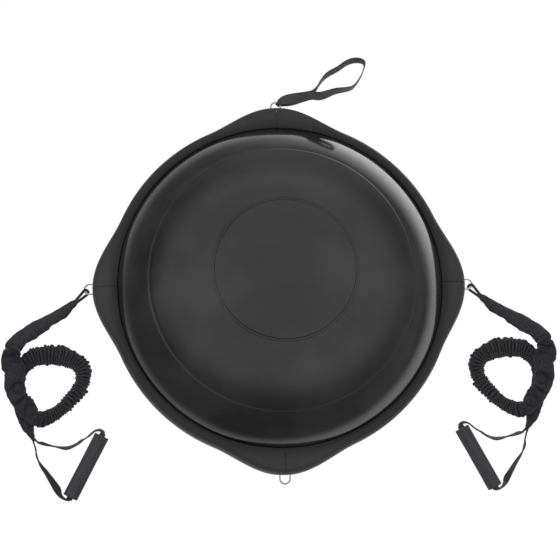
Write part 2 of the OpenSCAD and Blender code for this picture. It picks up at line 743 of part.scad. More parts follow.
// Hitch cord: out of the neck, over the ring's bow, down through its eye and back
pull = [cos(pull_a), -sin(pull_a), 0];
strand_side = [sin(pull_a), cos(pull_a), 0];
hitch_up = sin(hitch_lean) * strand_side + [0, 0, cos(hitch_lean)];
hitch_bow = bow_r * pull + [0, 0, ring_z];
hitch_in = wire_r + cord_d / 2 + hitch_gap;
neck_way = sleeve_ways[0];
neck_end = sleeve_path[0] - seat_gap * neck_way;
neck_start = neck_end - neck_len * neck_way;
strand_off = cord_d / 2 + strand_gap;
function strand_point(along, side) = neck_start + along * pull + side * strand_off * strand_side;
hitch_route = concat(
    [strand_point(hitch_tuck, 1), strand_point(-hitch_lead, 1)],
    [for (a = [90:22.5:270]) hitch_bow + hitch_in * cos(a) * pull + hitch_rise * sin(a) * hitch_up],
    [strand_point(-hitch_lead, -1), strand_point(hitch_tuck, -1)]
);

module hitch_cord(side) {
    path = smooth(hitch_route, smooth_n);
    plane = cross(pull, hitch_up);
    color("#222226") on_side(side)
        tube(path, headings(path), [for (p = path) cord_d / 2], plane, tube_sides);
}

module band_neck(side) {
    color("#2c2c31") on_side(side) rod(neck_start, neck_end, neck_small_r, neck_large_r);
}

module handle_web(side) {
    color("#242428") on_side(side) strip(smooth(web_route, smooth_n), web_t);
}

module grip_tube(side, outer_d, bore_d) {
    on_side(side) translate(grip_mid) rotate(grip_a) rotate([0, 90, 0]) difference() {
        cylinder(h = grip_len, d = outer_d, center = true);
        cylinder(h = grip_len + 2 * over, d = bore_d, center = true);
    }
}

module grip_core(side) {
    color("#1d1d20") grip_tube(side, core_d, core_bore_d);
}

module grip_foam(side) {
    color("#38383c") grip_tube(side, foam_d, core_d + 2 * fit);
}

// Least gap of the sleeve to itself, measured between rings that are not near neighbours
near_rings = 16;
self_gap = min([for (i = [0:len(sleeve_path) - 1]) for (j = [i + near_rings:1:len(sleeve_path) - 1])
    norm(sleeve_path[i] - sleeve_path[j]) - sleeve_radii[i] - sleeve_radii[j]]);
echo(sleeve_self_gap_mm = self_gap);

for (i = [1:foot_n]) foot(i);
platform_deck();
platform_pan();
rib_frame(0);  // rib_frame_nw
rib_frame(1);  // rib_frame_sw
rib_frame(2);  // rib_frame_se
rib_frame(3);  // rib_frame_ne
deck_screws();
dome_shell();
clamp_ring();
clamp_screws();
cover(0);  // cover_ne
cover(90);  // cover_nw
cover(180);  // cover_sw
cover(270);  // cover_se
cover_screws();
d_ring(0);  // ring_n
d_ring(90);  // ring_w
d_ring(180);  // ring_s
d_ring(270);  // ring_e
ring_clip(0);  // ring_clip_n
ring_clip(90);  // ring_clip_w
ring_clip(180);  // ring_clip_s
ring_clip(270);  // ring_clip_e
clip_screws();
valve_body();
valve_plug();
carry_strap();
for (side = ["w", "e"]) {
    hitch_cord(side);
    band_neck(side);
    band_sleeve(side);
    band_tube(side);
    band_throat(side);
    handle_web(side);
    grip_core(side);
    grip_foam(side);
}
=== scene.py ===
"""Looks of the balance dome trainer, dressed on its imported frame.

Metres, Z up. The origin lies on the floor under the dome's axis, and +Y points to the carry strap.
"""
import logging
import math
from dataclasses import dataclass
from enum import Enum
from typing import Any, Callable, ClassVar, Mapping, Sequence

import bmesh
import bpy
import numpy as np
from mathutils import Matrix, Vector


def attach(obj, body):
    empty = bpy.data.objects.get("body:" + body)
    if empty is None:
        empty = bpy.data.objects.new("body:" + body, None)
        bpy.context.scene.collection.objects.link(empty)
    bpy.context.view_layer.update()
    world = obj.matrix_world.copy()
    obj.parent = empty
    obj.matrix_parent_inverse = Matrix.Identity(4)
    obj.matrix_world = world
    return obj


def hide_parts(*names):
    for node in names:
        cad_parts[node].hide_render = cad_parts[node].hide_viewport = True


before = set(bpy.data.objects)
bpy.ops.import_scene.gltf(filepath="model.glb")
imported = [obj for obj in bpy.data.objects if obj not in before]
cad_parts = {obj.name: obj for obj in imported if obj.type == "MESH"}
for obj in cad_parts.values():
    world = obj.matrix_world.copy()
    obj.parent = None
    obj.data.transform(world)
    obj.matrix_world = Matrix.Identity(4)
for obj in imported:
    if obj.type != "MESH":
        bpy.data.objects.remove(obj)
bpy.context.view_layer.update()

MM = 0.001
LOG = logging.getLogger("trainer")

# Sizes that several sub-assemblies share
EYE_R = 0.3256
RING_Z = 0.020
DECK_Z = 0.006
# Radius at which a turned outline starts, beside its axis
HUB_R = 0.0001

Colour = tuple[float, float, float, float]
Operator = Callable[["Sock", Any], "Sock"]


def grey(level: float, blue: float = 0.0) -> Colour:
    """Gives the linear colour of a grey.

    Args:
        level: The grey on the usual scale of 0 to 255.
        blue: How much higher the blue channel is.

    Returns:
        The colour with full alpha.
    """
    def linear(value: float) -> float:
        """Undoes the display curve of one channel."""
        share = value / 255
        return share / 12.92 if share < 0.04045 else ((share + 0.055) / 1.055) ** 2.4
    return (linear(level), linear(level), linear(level + blue), 1.0)


def both_ways(operation: str) -> tuple[Operator, Operator]:
    """Makes the two methods of an operator, which add a Math node.

    Args:
        operation: The Math node's operation.

    Returns:
        The method, and its reflected form.
    """
    def forward(self: "Sock", other: Any) -> "Sock":
        """Takes the other value second."""
        return self.math(operation, self, other)

    def reflected(self: "Sock", other: Any) -> "Sock":
        """Takes the other value first."""
        return self.math(operation, other, self)

    return forward, reflected


class Sock:
    """A node's output, on which sums are written as Python expressions."""

    def __init__(self, graph: "Graph", socket: bpy.types.NodeSocket) -> None:
        """Keeps the socket and the graph that it belongs to."""
        self.graph = graph
        self.socket = socket

    def beside(self, name: str) -> "Sock":
        """Gives another output of the same node."""
        return Sock(self.graph, self.socket.node.outputs[name])

    def math(self, operation: str, *operands: Any) -> "Sock":
        """Adds a Math node on the operands."""
        return self.graph.node("ShaderNodeMath", {"operation": operation}, dict(enumerate(operands)))

    __add__, __radd__ = both_ways("ADD")
    __sub__, __rsub__ = both_ways("SUBTRACT")
    __mul__, __rmul__ = both_ways("MULTIPLY")
    __truediv__, __rtruediv__ = both_ways("DIVIDE")
    __pow__, __rpow__ = both_ways("POWER")

    def sin(self) -> "Sock":
        """Gives the sine."""
        return self.math("SINE", self)

    def cos(self) -> "Sock":
        """Gives the cosine."""
        return self.math("COSINE", self)

    def abs(self) -> "Sock":
        """Gives the size without its sign."""
        return self.math("ABSOLUTE", self)

    def root(self) -> "Sock":
        """Gives the square root."""
        return self.math("SQRT", self)

    def least(self, other: Any) -> "Sock":
        """Gives the smaller of two values."""
        return self.math("MINIMUM", self, other)

    def most(self, other: Any) -> "Sock":
        """Gives the larger of two values."""
        return self.math("MAXIMUM", self, other)

    def zigzag(self, scale: float) -> "Sock":
        """Runs up and down between 0 and a height."""
        return self.math("PINGPONG", self, scale)

    def between(self, low: float, high: float) -> "Sock":
        """Rises smoothly from 0 at the low value to 1 at the high one."""
        sockets = {"Value": self, "From Min": low, "From Max": high}
        return self.graph.node("ShaderNodeMapRange", {"interpolation_type": "SMOOTHSTEP"}, sockets)


class Graph:
    """A node tree under construction, of a finish, the world or a geometry tree."""

    def __init__(self, tree: bpy.types.NodeTree) -> None:
        """Keeps the tree."""
        self.tree = tree

    def node(self, kind: str, settings: Mapping[str, Any] | None = None,
             sockets: Mapping[Any, Any] | None = None, out: int | str = 0) -> Sock:
        """Adds a node.

        Args:
            kind: The node's type.
            settings: Its settings, which are set first.
            sockets: The values or links of its inputs, by name or number.
            out: The output to go on from.

        Returns:
            That output.
        """
        made = self.tree.nodes.new(kind)
        for key, value in (settings or {}).items():
            setattr(made, key, value)
        for key, value in (sockets or {}).items():
            self.feed(made.inputs[key], value)
        return Sock(self, made.outputs[out])

    def feed(self, socket: bpy.types.NodeSocket, value: Any) -> None:
        """Links an output to an input, or sets the input's value.

        Args:
            socket: The input.
            value: The output to link, or the value to set.
        """
        if isinstance(value, Sock):
            self.tree.links.new(value.socket, socket)
        else:
            socket.default_value = value

    def end(self, kind: str, name: str, value: Sock) -> None:
        """Adds the tree's last node and links a value to its input."""
        self.feed(self.tree.nodes.new(kind).inputs[name], value)

    def place(self, scale: Sequence[float] = (1, 1, 1)) -> Sock:
        """Gives the Object coordinates, scaled along each axis."""
        point = self.node("ShaderNodeTexCoord", out="Object")
        return self.node("ShaderNodeMapping", {}, {"Vector": point, "Scale": scale})

    def cloth(self, scale: Sequence[float] = (1, 1, 1)) -> Sock:
        """Gives the piece's own UV map in metres, scaled along and across."""
        point = self.node("ShaderNodeUVMap", {"uv_map": "UVMap"})
        return self.node("ShaderNodeMapping", {}, {"Vector": point, "Scale": scale})

    def parts(self, vector: Sock) -> tuple[Sock, Sock, Sock]:
        """Splits a vector into its three numbers."""
        x = self.node("ShaderNodeSeparateXYZ", {}, {"Vector": vector})
        return x, x.beside("Y"), x.beside("Z")

    def noise(self, vector: Sock, scale: float, detail: float = 2.0) -> Sock:
        """Adds smooth noise."""
        return self.node("ShaderNodeTexNoise", {}, {"Vector": vector, "Scale": scale, "Detail": detail})

    def cells(self, vector: Sock, scale: float) -> Sock:
        """Adds the distance to the nearest of scattered points."""
        return self.node("ShaderNodeTexVoronoi", {}, {"Vector": vector, "Scale": scale})

    def blend(self, low: Any, high: Any, share: Any) -> Sock:
        """Mixes two colours."""
        return self.node("ShaderNodeMix", {"data_type": "RGBA"}, {0: share, 6: low, 7: high}, out=2)

    def bump(self, height: Sock, strength: float, depth: float) -> Sock:
        """Adds a Bump node of a strength and a depth in metres."""
        sockets = {"Height": height, "Strength": strength, "Distance": depth}
        return self.node("ShaderNodeBump", {}, sockets)


def blank(owner: bpy.types.ID) -> Graph:
    """Empties the node tree of a material or a world.

    Args:
        owner: The material or the world.

    Returns:
        A graph on its tree.
    """
    owner.use_nodes = True
    owner.node_tree.nodes.clear()
    return Graph(owner.node_tree)


@dataclass(frozen=True)
class Finish:
    """The surface of one material, from its darkest and lightest colour and its range of roughness.

    Each pattern's scale is its number of spots per metre, and its depth is in metres.
    """

    name: str
    dark: Colour
    light: Colour
    rough: tuple[float, float]
    metallic: float = 0.0
    specular: float = 0.5

    def material(self) -> bpy.types.Material:
        """Gives the finish's material, made the first time it is asked for.

        Returns:
            The material.
        """
        known = bpy.data.materials.get(self.name)
        if known:
            return known
        made = bpy.data.materials.new(self.name)
        graph = blank(made)
        sockets = {"Metallic": self.metallic, "Specular IOR Level": self.specular}
        shader = graph.node("ShaderNodeBsdfPrincipled", {}, sockets)
        graph.end("ShaderNodeOutputMaterial", "Surface", shader)
        self.paint(graph, shader.socket.node)
        return made

    def paint(self, graph: Graph, shader: bpy.types.Node) -> None:
        """Adds the pattern of the surface to its shader."""
        raise NotImplementedError

    def lay(self, graph: Graph, shader: bpy.types.Node, tone: Sock, sheen: Sock, normal: Sock) -> None:
        """Feeds the shader.

        Args:
            graph: The material's graph.
            shader: Its shader.
            tone: Share of the light colour over the surface.
            sheen: Share of the high roughness over the surface.
            normal: The bumped normal.
        """
        low, high = self.rough
        graph.feed(shader.inputs["Base Color"], graph.blend(self.dark, self.light, tone))
        graph.feed(shader.inputs["Roughness"], low + sheen * (high - low))
        graph.feed(shader.inputs["Normal"], normal)


@dataclass(frozen=True)
class GlossyVinyl(Finish):
    """Soft vinyl with a gloss that hands have dulled in patches, and fine lines moulded in a pair."""

    pair: tuple[float, float] = (0.1135, 0.1175)
    line_w: float = 0.0028
    line_depth: float = 0.0006
    cloud_scale: float = 7.0
    smear_scale: tuple[float, float, float] = (14.0, 60.0, 30.0)
    speck_scale: float = 900.0
    peel_scale: float = 260.0
    peel_depth: float = 0.00002

    def paint(self, graph: Graph, shader: bpy.types.Node) -> None:
        """Adds clouds, fine scuffs, the moulded pair of lines and the skin's slight unevenness.

        Args:
            graph: The material's graph.
            shader: Its shader.
        """
        point = graph.place()
        x, y, _ = graph.parts(point)
        reach = (x * x + y * y).root()
        cloud = graph.noise(point, self.cloud_scale, 5)
        smear = graph.noise(graph.place(self.smear_scale), 1, 4).between(0.48, 0.75)
        speck = graph.noise(point, self.speck_scale, 1).between(0.70, 0.78)
        height = graph.noise(point, self.peel_scale, 2) * self.peel_depth
        for radius in self.pair:
            off = ((reach - radius).abs() / (self.line_w / 2)).least(1.0)
            height = height - (1 - off ** 2) ** 2 * self.line_depth
        tone = cloud.between(0.25, 0.8) + speck * 0.3
        self.lay(graph, shader, tone, cloud * 0.5 + smear * 0.4 + speck * 0.3, graph.bump(height, 1.0, 1.0))


@dataclass(frozen=True)
class GrainedPlastic(Finish):
    """Moulded plastic with a fine spark-eroded grain."""

    grain: float = 1500.0
    depth: float = 0.00025
    drift_scale: float = 9.0
    rub_scale: tuple[float, float, float] = (30.0, 30.0, 200.0)

    def paint(self, graph: Graph, shader: bpy.types.Node) -> None:
        """Adds the grain, slow drifts of tone and a few rubbed marks.

        Args:
            graph: The material's graph.
            shader: Its shader.
        """
        point = graph.place()
        grain = graph.noise(point, self.grain, 3)
        drift = graph.noise(point, self.drift_scale, 3)
        rub = graph.noise(graph.place(self.rub_scale), 1, 5).between(0.60, 0.80)
        tone = self.tone(point, grain, drift, rub)
        sheen = grain * 0.6 + drift * 0.4 - rub * 0.3
        self.lay(graph, shader, tone, sheen, graph.bump(grain, 0.35, self.depth))

    def tone(self, point: Sock, grain: Sock, drift: Sock, rub: Sock) -> Sock:
        """Gives the share of the light colour."""
        return drift * 0.5 + grain * 0.35 + rub * 0.2


@dataclass(frozen=True)
class RimPlastic(GrainedPlastic):
    """Grained plastic of the rim, with painted light towards its outer edge and painted shade in the groove
    and down its side.
    """

    dust_reach: tuple[float, float] = (0.272, 0.300)
    side: tuple[float, float] = (0.030, 0.046)

    def tone(self, point: Sock, grain: Sock, drift: Sock, rub: Sock) -> Sock:
        """Gives the share of the light colour, which fades into painted shade towards the groove and the
        side.

        Args:
            point: The place on the rim.
            grain: The grain.
            drift: The slow drift.
            rub: The rubbed marks.

        Returns:
            The share.
        """
        x, y, z = point.graph.parts(point)
        # Painted light and shade: lighter towards the outer edge, darker in the groove and down the side
        dust_and_edge_light = (x * x + y * y).root().between(*self.dust_reach) * z.between(*self.side)
        return (drift * 0.6 + grain * 0.5 + rub * 0.15) * (0.1 + dust_and_edge_light * 0.9)


@dataclass(frozen=True)
class FootRubber(Finish):
    """Dull rubber with floor dust in its pores."""

    pore_scale: float = 900.0
    pore_depth: float = 0.0003
    dust_scale: float = 120.0

    def paint(self, graph: Graph, shader: bpy.types.Node) -> None:
        """Adds pores and dust.

        Args:
            graph: The material's graph.
            shader: Its shader.
        """
        point = graph.place()
        pores = graph.cells(point, self.pore_scale)
        dust_and_edge_light = graph.noise(point, self.dust_scale, 5).between(0.5, 0.8)
        self.lay(graph, shader, dust_and_edge_light * 0.8, pores * 0.6 + dust_and_edge_light * 0.4, graph.bump(pores, 0.3, self.pore_depth))


@dataclass(frozen=True)
class BareMetal(Finish):
    """Drawn or turned metal with fine scratches."""

    scratch_scale: tuple[float, float, float] = (4000.0, 900.0, 900.0)
    scratch_depth: float = 0.0001
    patch_scale: float = 160.0

    def paint(self, graph: Graph, shader: bpy.types.Node) -> None:
        """Adds scratches and dull patches.

        Args:
            graph: The material's graph.
            shader: Its shader.
        """
        scratch = graph.noise(graph.place(self.scratch_scale), 1, 2)
        patch = graph.noise(graph.place(), self.patch_scale, 3)
        sheen = scratch * 0.5 + patch * 0.5
        self.lay(graph, shader, patch, sheen, graph.bump(scratch, 0.05, self.scratch_depth))


@dataclass(frozen=True)
class SleeveCloth(Finish):
    """Thin, tightly woven sleeve cloth with a little sheen."""

    thread: float = 0.0007
    weave_depth: float = 0.0003
    drawn_scale: tuple[float, float, float] = (60.0, 900.0, 1.0)
    fade_scale: float = 35.0
    rumple_scale: float = 300.0
    sheen: float = 0.15
    sheen_rough: float = 0.5

    def paint(self, graph: Graph, shader: bpy.types.Node) -> None:
        """Adds the weave, drawn threads, faded patches and the painted shade of the folds.

        Args:
            graph: The material's graph.
            shader: Its shader.
        """
        along, across, _ = graph.parts(graph.cloth())
        turn = math.pi / self.thread
        weave = ((along * turn).sin() * (across * turn).sin()).abs()
        drawn = graph.noise(graph.cloth(self.drawn_scale), 1, 3)
        fade = graph.noise(graph.place(), self.fade_scale, 4)
        shader.inputs["Sheen Weight"].default_value = self.sheen
        shader.inputs["Sheen Roughness"].default_value = self.sheen_rough
        # The attribute holds painted shade of the creases, the underside and the turns, which darkens the
        # tone
        painted_shade = graph.node("ShaderNodeAttribute", {"attribute_name": "painted_shade"}, out="Fac")
        rumple = graph.noise(graph.place(), self.rumple_scale, 4).between(0.3, 0.7)
        tone = painted_shade * (0.28 + fade * 0.35 + rumple * 0.45 + drawn * 0.25 + weave * 0.1)
        self.lay(graph, shader, tone, fade, graph.bump(weave * 0.6 + drawn, 0.4, self.weave_depth))


@dataclass(frozen=True)
class Webbing(Finish):
    """Flat woven webbing with a herringbone and bound edges."""

    rib: float = 0.0016
    chevron: float = 0.005
    rib_depth: float = 0.0004
    yarn_scale: tuple[float, float, float] = (300.0, 3000.0, 1.0)
    dye_scale: float = 50.0

    def paint(self, graph: Graph, shader: bpy.types.Node) -> None:
        """Adds the herringbone, its yarns and uneven dye.

        Args:
            graph: The material's graph.
            shader: Its shader.
        """
        along, across, _ = graph.parts(graph.cloth())
        lean = across.zigzag(self.chevron) * 0.8
        rib = ((along + lean) * (math.tau / self.rib)).sin() * 0.5 + 0.5
        yarn = graph.noise(graph.cloth(self.yarn_scale), 1, 2)
        dye = graph.noise(graph.place(), self.dye_scale, 3)
        tone = rib * 0.45 + yarn * 0.3 + dye * 0.3
        self.lay(graph, shader, tone, dye, graph.bump(rib * 0.7 + yarn * 0.3, 0.6, self.rib_depth))


@dataclass(frozen=True)
class Braid(Finish):
    """Round braided cord."""

    strand: float = 0.0022
    strand_depth: float = 0.0005
    fuzz_scale: float = 700.0

    def paint(self, graph: Graph, shader: bpy.types.Node) -> None:
        """Adds two sets of strands that cross.

        Args:
            graph: The material's graph.
            shader: Its shader.
        """
        along, across, _ = graph.parts(graph.cloth())
        turn = math.tau / self.strand
        one = ((along + across) * turn).sin()
        two = ((along - across) * turn).sin()
        braid = one.most(two) * 0.5 + 0.5
        fuzz = graph.noise(graph.place(), self.fuzz_scale, 3)
        self.lay(graph, shader, braid * 0.6 + fuzz * 0.4, fuzz, graph.bump(braid, 0.7, self.strand_depth))


@dataclass(frozen=True)
class GripFoam(Finish):
    """Closed-cell foam with a drawn skin."""

    cell_scale: float = 1100.0
    cell_depth: float = 0.0004
    streak_scale: tuple[float, float, float] = (12.0, 160.0, 1.0)
    worn_scale: float = 45.0

    def paint(self, graph: Graph, shader: bpy.types.Node) -> None:
        """Adds cells, streaks along the grip and worn patches.

        Args:
            graph: The material's graph.
            shader: Its shader.
        """
        point = graph.place()
        cells = graph.cells(point, self.cell_scale)
        streak = graph.noise(graph.cloth(self.streak_scale), 1, 3)
        worn = graph.noise(point, self.worn_scale, 3)
        tone = streak.between(0.25, 0.75) * 0.6 + worn * 0.25 + cells * 0.25
        self.lay(graph, shader, tone, worn, graph.bump(cells + streak * 0.6, 0.35, self.cell_depth))


class Look(Enum):
    """Finishes of the trainer, by the material slot or the piece that wears them."""

    DOME = GlossyVinyl("dome_vinyl_gloss", grey(16), grey(54), (0.08, 0.20))
    RIM = RimPlastic("rim_grained_plastic", grey(30), grey(70), (0.5, 0.66), specular=0.22)
    PLATFORM = GrainedPlastic("platform_black_plastic", grey(26), grey(42), (0.42, 0.6), grain=900.0)
    VALVE = GrainedPlastic("valve_plastic", grey(40), grey(58), (0.3, 0.45), grain=2200.0)
    CORE = GrainedPlastic("grip_core_plastic", grey(30), grey(44), (0.35, 0.5), grain=2000.0)
    FOOT = FootRubber("foot_rubber_dull", grey(22), grey(48), (0.7, 0.95))
    STEEL = BareMetal("ring_polished_steel", grey(140), grey(185), (0.08, 0.22), metallic=1.0)
    ZINC = BareMetal("zinc_plated_steel", grey(150, 4), grey(190, 4), (0.25, 0.45), metallic=1.0)
    CLOTH = SleeveCloth("band_sleeve_cloth", grey(5, 2), grey(71, 8), (0.7, 0.9), specular=0.15)
    HANDLE_WEB = Webbing("handle_black_webbing", grey(28), grey(58), (0.6, 0.85), specular=0.3)
    STRAP_WEB = Webbing("carry_strap_webbing", grey(52), grey(88), (0.6, 0.85), specular=0.3)
    THREAD = Braid("sewing_thread", grey(40), grey(80), (0.6, 0.8), specular=0.3, strand=0.0008)
    HITCH = Braid("hitch_cord_braid", grey(26), grey(62), (0.6, 0.85), specular=0.3)
    FOAM = GripFoam("grip_foam_skin", grey(44, 6), grey(78, 6), (0.6, 0.85), specular=0.3)

    @property
    def material(self) -> bpy.types.Material:
        """The finish's material."""
        return self.value.material()


class Side(Enum):
    """The side of the dome that a band lies on."""

    WEST = "west"
    EAST = "east"

    @property
    def tag(self) -> str:
        """The letter that ends the names of its nodes."""
        return self.value[0]

    @property
    def sign(self) -> int:
        """The sign of X on this side."""
        return -1 if self is Side.WEST else 1


def unit(vectors: np.ndarray) -> np.ndarray:
    """Scales vectors to a length of 1."""
    return vectors / np.linalg.norm(vectors, axis=-1, keepdims=True)


def spline(points: np.ndarray, spans: int) -> tuple[np.ndarray, np.ndarray]:
    """Runs a smooth curve through points.

    Args:
        points: Rows of numbers, of any width.
        spans: Number of steps between two points.

    Returns:
        The curve's rows, and the number of the point that each lies at.
    """
    ends = np.vstack([2 * points[0] - points[1], points, 2 * points[-1] - points[-2]])
    count = len(points) - 1
    where = np.linspace(0, count, count * spans + 1)
    i = np.minimum(where.astype(int), count - 1)
    t = (where - i)[:, None]
    a, b, c, d = (ends[i + k] for k in range(4))
    bend = (2 * a - 5 * b + 4 * c - d) * t ** 2 + (3 * b - a - 3 * c + d) * t ** 3
    return 0.5 * (2 * b + (c - a) * t + bend), where


def lengths(points: np.ndarray) -> np.ndarray:
    """Gives the distance along a line of points up to each."""
    return np.concatenate([[0], np.cumsum(np.linalg.norm(np.diff(points, axis=0), axis=1))])


class Unevenness:
    """Smooth seeded noise over a tube's skin, between -1 and 1."""

    ROWS: ClassVar[int] = 512

    def __init__(self, seed: int, cells: int) -> None:
        """Draws the noise's values.

        Args:
            seed: The seed of the random values.
            cells: Number of values around the tube.
        """
        self.values = np.random.default_rng(seed).uniform(-1, 1, (self.ROWS, cells))

    def __call__(self, along: np.ndarray, around: np.ndarray) -> np.ndarray:
        """Reads the noise.

        Args:
            along: Place along the tube, in cells.
            around: Place around the tube, from 0 to 1.

        Returns:
            The noise at each place.
        """
        rows, cells = self.values.shape
        across = around * cells
        i, j = np.floor(along).astype(int), np.floor(across).astype(int)
        s, t = along - i, across - j
        s, t = s * s * (3 - 2 * s), t * t * (3 - 2 * t)
        near, far = (row % rows for row in (i, i + 1))
        left, right = (column % cells for column in (j, j + 1))
        low = self.values[near, left] * (1 - t) + self.values[near, right] * t
        high = self.values[far, left] * (1 - t) + self.values[far, right] * t
        return low * (1 - s) + high * s


def link(name: str, mesh: bpy.types.Mesh, look: Look) -> bpy.types.Object:
    """Puts a mesh into the scene with its finish.

    Args:
        name: The piece's name.
        mesh: Its mesh.
        look: Its finish.

    Returns:
        The piece.
    """
    piece = bpy.data.objects.new(name, mesh)
    bpy.context.scene.collection.objects.link(piece)
    mesh.materials.clear()
    mesh.materials.append(look.material)
    return piece


def skin(name: str, rows: np.ndarray, look: Look, loop: bool = False, crease: float = 40.0,
         uv: np.ndarray | None = None, painted_shade: np.ndarray | None = None) -> bpy.types.Object:
    """Makes a piece from rows of points that close around it.

    Args:
        name: The piece's name.
        rows: Points along and around the piece, turning with the thumb along it.
        look: Its finish.
        loop: Whether the last row joins the first, or both ends are closed.
        crease: Angle in degrees past which an edge stays sharp.
        uv: Place along and around for each point, with one more column to close the map.
        painted_shade: Painted shade of the cloth's creases, underside and turns, as the share of light kept
            from 0 to 1 at each point, which its finish reads.

    Returns:
        The piece.
    """
    count, sides = rows.shape[:2]
    spans = count if loop else count - 1
    i, j = np.meshgrid(np.arange(spans), np.arange(sides), indexing="ij")
    ahead, beside = (i + 1) % count, (j + 1) % sides
    quads = np.stack([i * sides + j, i * sides + beside, ahead * sides + beside, ahead * sides + j], -1)
    faces = quads.reshape(-1, 4).tolist()
    if not loop:
        faces.append(list(range(sides))[::-1])
        faces.append(list(range((count - 1) * sides, count * sides)))
    mesh = bpy.data.meshes.new(name)
    mesh.from_pydata(rows.reshape(-1, 3).tolist(), [], faces)
    if uv is not None:
        layer = mesh.uv_layers.new(name="UVMap")
        corners = np.stack([uv[i, j], uv[i, j + 1], uv[i + 1, j + 1], uv[i + 1, j]], 2).reshape(-1, 2)
        flat = np.zeros((len(layer.data), 2))
        flat[:len(corners)] = corners
        layer.data.foreach_set("uv", flat.ravel())
    if painted_shade is not None:
        # Stores the painted shade of the cloth for its finish
        mesh.attributes.new("painted_shade", "FLOAT", "POINT").data.foreach_set("value", painted_shade.ravel())
    mesh.polygons.foreach_set("use_smooth", [True] * len(mesh.polygons))
    mesh.set_sharp_from_angle(angle=math.radians(crease))
    return link(name, mesh, look)


def settle(piece: bpy.types.Object) -> None:
    """Turns a piece's modifiers into a plain mesh.

    Args:
        piece: The piece.
    """
    graph = bpy.context.evaluated_depsgraph_get()
    mesh = bpy.data.meshes.new_from_object(piece.evaluated_get(graph), depsgraph=graph)
    piece.modifiers.clear()
    piece.data = mesh


def hand_over(piece: bpy.types.Object, body: str, slot: str, *nodes: str) -> bpy.types.Object:
    """Lets a piece ride on a body and stand for nodes.

    Args:
        piece: The piece.
        body: The body that carries it.
        slot: The record's material slot; not used.
        nodes: The nodes that it replaces.

    Returns:
        The piece.
    """
    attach(piece, body)
    if nodes:
        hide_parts(*nodes)
    LOG.info("%s on %s, %d faces", piece.name, body, len(piece.data.polygons))
    return piece


class GeometryTree:
    """A Geometry Nodes tree with named inputs, which is run once on an object."""

    KINDS: ClassVar[dict[type, str]] = {
        float: "NodeSocketFloat", int: "NodeSocketInt", bpy.types.Object: "NodeSocketObject",
        bpy.types.Material: "NodeSocketMaterial",
    }

    def __init__(self, name: str, inputs: Mapping[str, Any]) -> None:
        """Starts the tree.

        Args:
            name: The tree's name.
            inputs: The named inputs with their values.
        """
        self.tree = bpy.data.node_groups.new(name, "GeometryNodeTree")
        face = self.tree.interface
        face.new_socket("Geometry", in_out="INPUT", socket_type="NodeSocketGeometry")
        face.new_socket("Geometry", in_out="OUTPUT", socket_type="NodeSocketGeometry")
        self.values = {}
        for label, value in inputs.items():
            kind = next(socket for known, socket in self.KINDS.items() if isinstance(value, known))
            self.values[face.new_socket(label, in_out="INPUT", socket_type=kind).identifier] = value
        self.graph = Graph(self.tree)
        self.source = self.graph.node("NodeGroupInput")

    def input(self, label: str) -> Sock:
        """Gives a named input."""
        return self.source.beside(label)

    def run(self, piece: bpy.types.Object, geometry: Sock) -> None:
        """Ends the tree in real geometry with its material, and runs it on a piece.

        Args:
            piece: The object that the tree is run on.
            geometry: The geometry that comes out.
        """
        real = self.graph.node("GeometryNodeRealizeInstances", {}, {"Geometry": geometry})
        worn = {"Geometry": real, "Material": self.input("Material")}
        dressed = self.graph.node("GeometryNodeSetMaterial", {}, worn)
        self.graph.end("NodeGroupOutput", "Geometry", dressed)
        modifier = piece.modifiers.new(self.tree.name, "NODES")
        modifier.node_group = self.tree
        for identifier, value in self.values.items():
            modifier[identifier] = value
        settle(piece)


def copies(name: str, places: Sequence[Sequence[float]], pattern: bpy.types.Object, look: Look,
           seed: int, turned: bool) -> bpy.types.Object:
    """Sets copies of a small pattern at places, with Geometry Nodes.

    Args:
        name: The piece's name.
        places: The places of the copies.
        pattern: The object to copy, which is deleted afterwards.
        look: The finish.
        seed: The seed of the copies' turns.
        turned: Whether each copy is turned at random about Z.

    Returns:
        The piece.
    """
    mesh = bpy.data.meshes.new(name)
    mesh.from_pydata([tuple(place) for place in places], [], [])
    piece = link(name, mesh, look)
    full = math.tau if turned else 0.0
    inputs = {"Pattern": pattern, "Full turn": full, "Seed": seed, "Material": look.material}
    tree = GeometryTree(name + "_copies", inputs)
    graph = tree.graph
    points = graph.node("GeometryNodeMeshToPoints", {}, {"Mesh": tree.source})
    shape = graph.node("GeometryNodeObjectInfo", {}, {"Object": tree.input("Pattern")}, out="Geometry")
    sockets = {2: 0.0, 3: tree.input("Full turn"), "Seed": tree.input("Seed")}
    spin = graph.node("FunctionNodeRandomValue", {"data_type": "FLOAT"}, sockets, out=1)
    turn = graph.node("ShaderNodeCombineXYZ", {}, {"Z": spin})
    rotation = graph.node("FunctionNodeEulerToRotation", {}, {0: turn})
    sockets = {"Points": points, "Instance": shape, "Rotation": rotation}
    tree.run(piece, graph.node("GeometryNodeInstanceOnPoints", {}, sockets))
    bpy.data.objects.remove(pattern)
    return piece


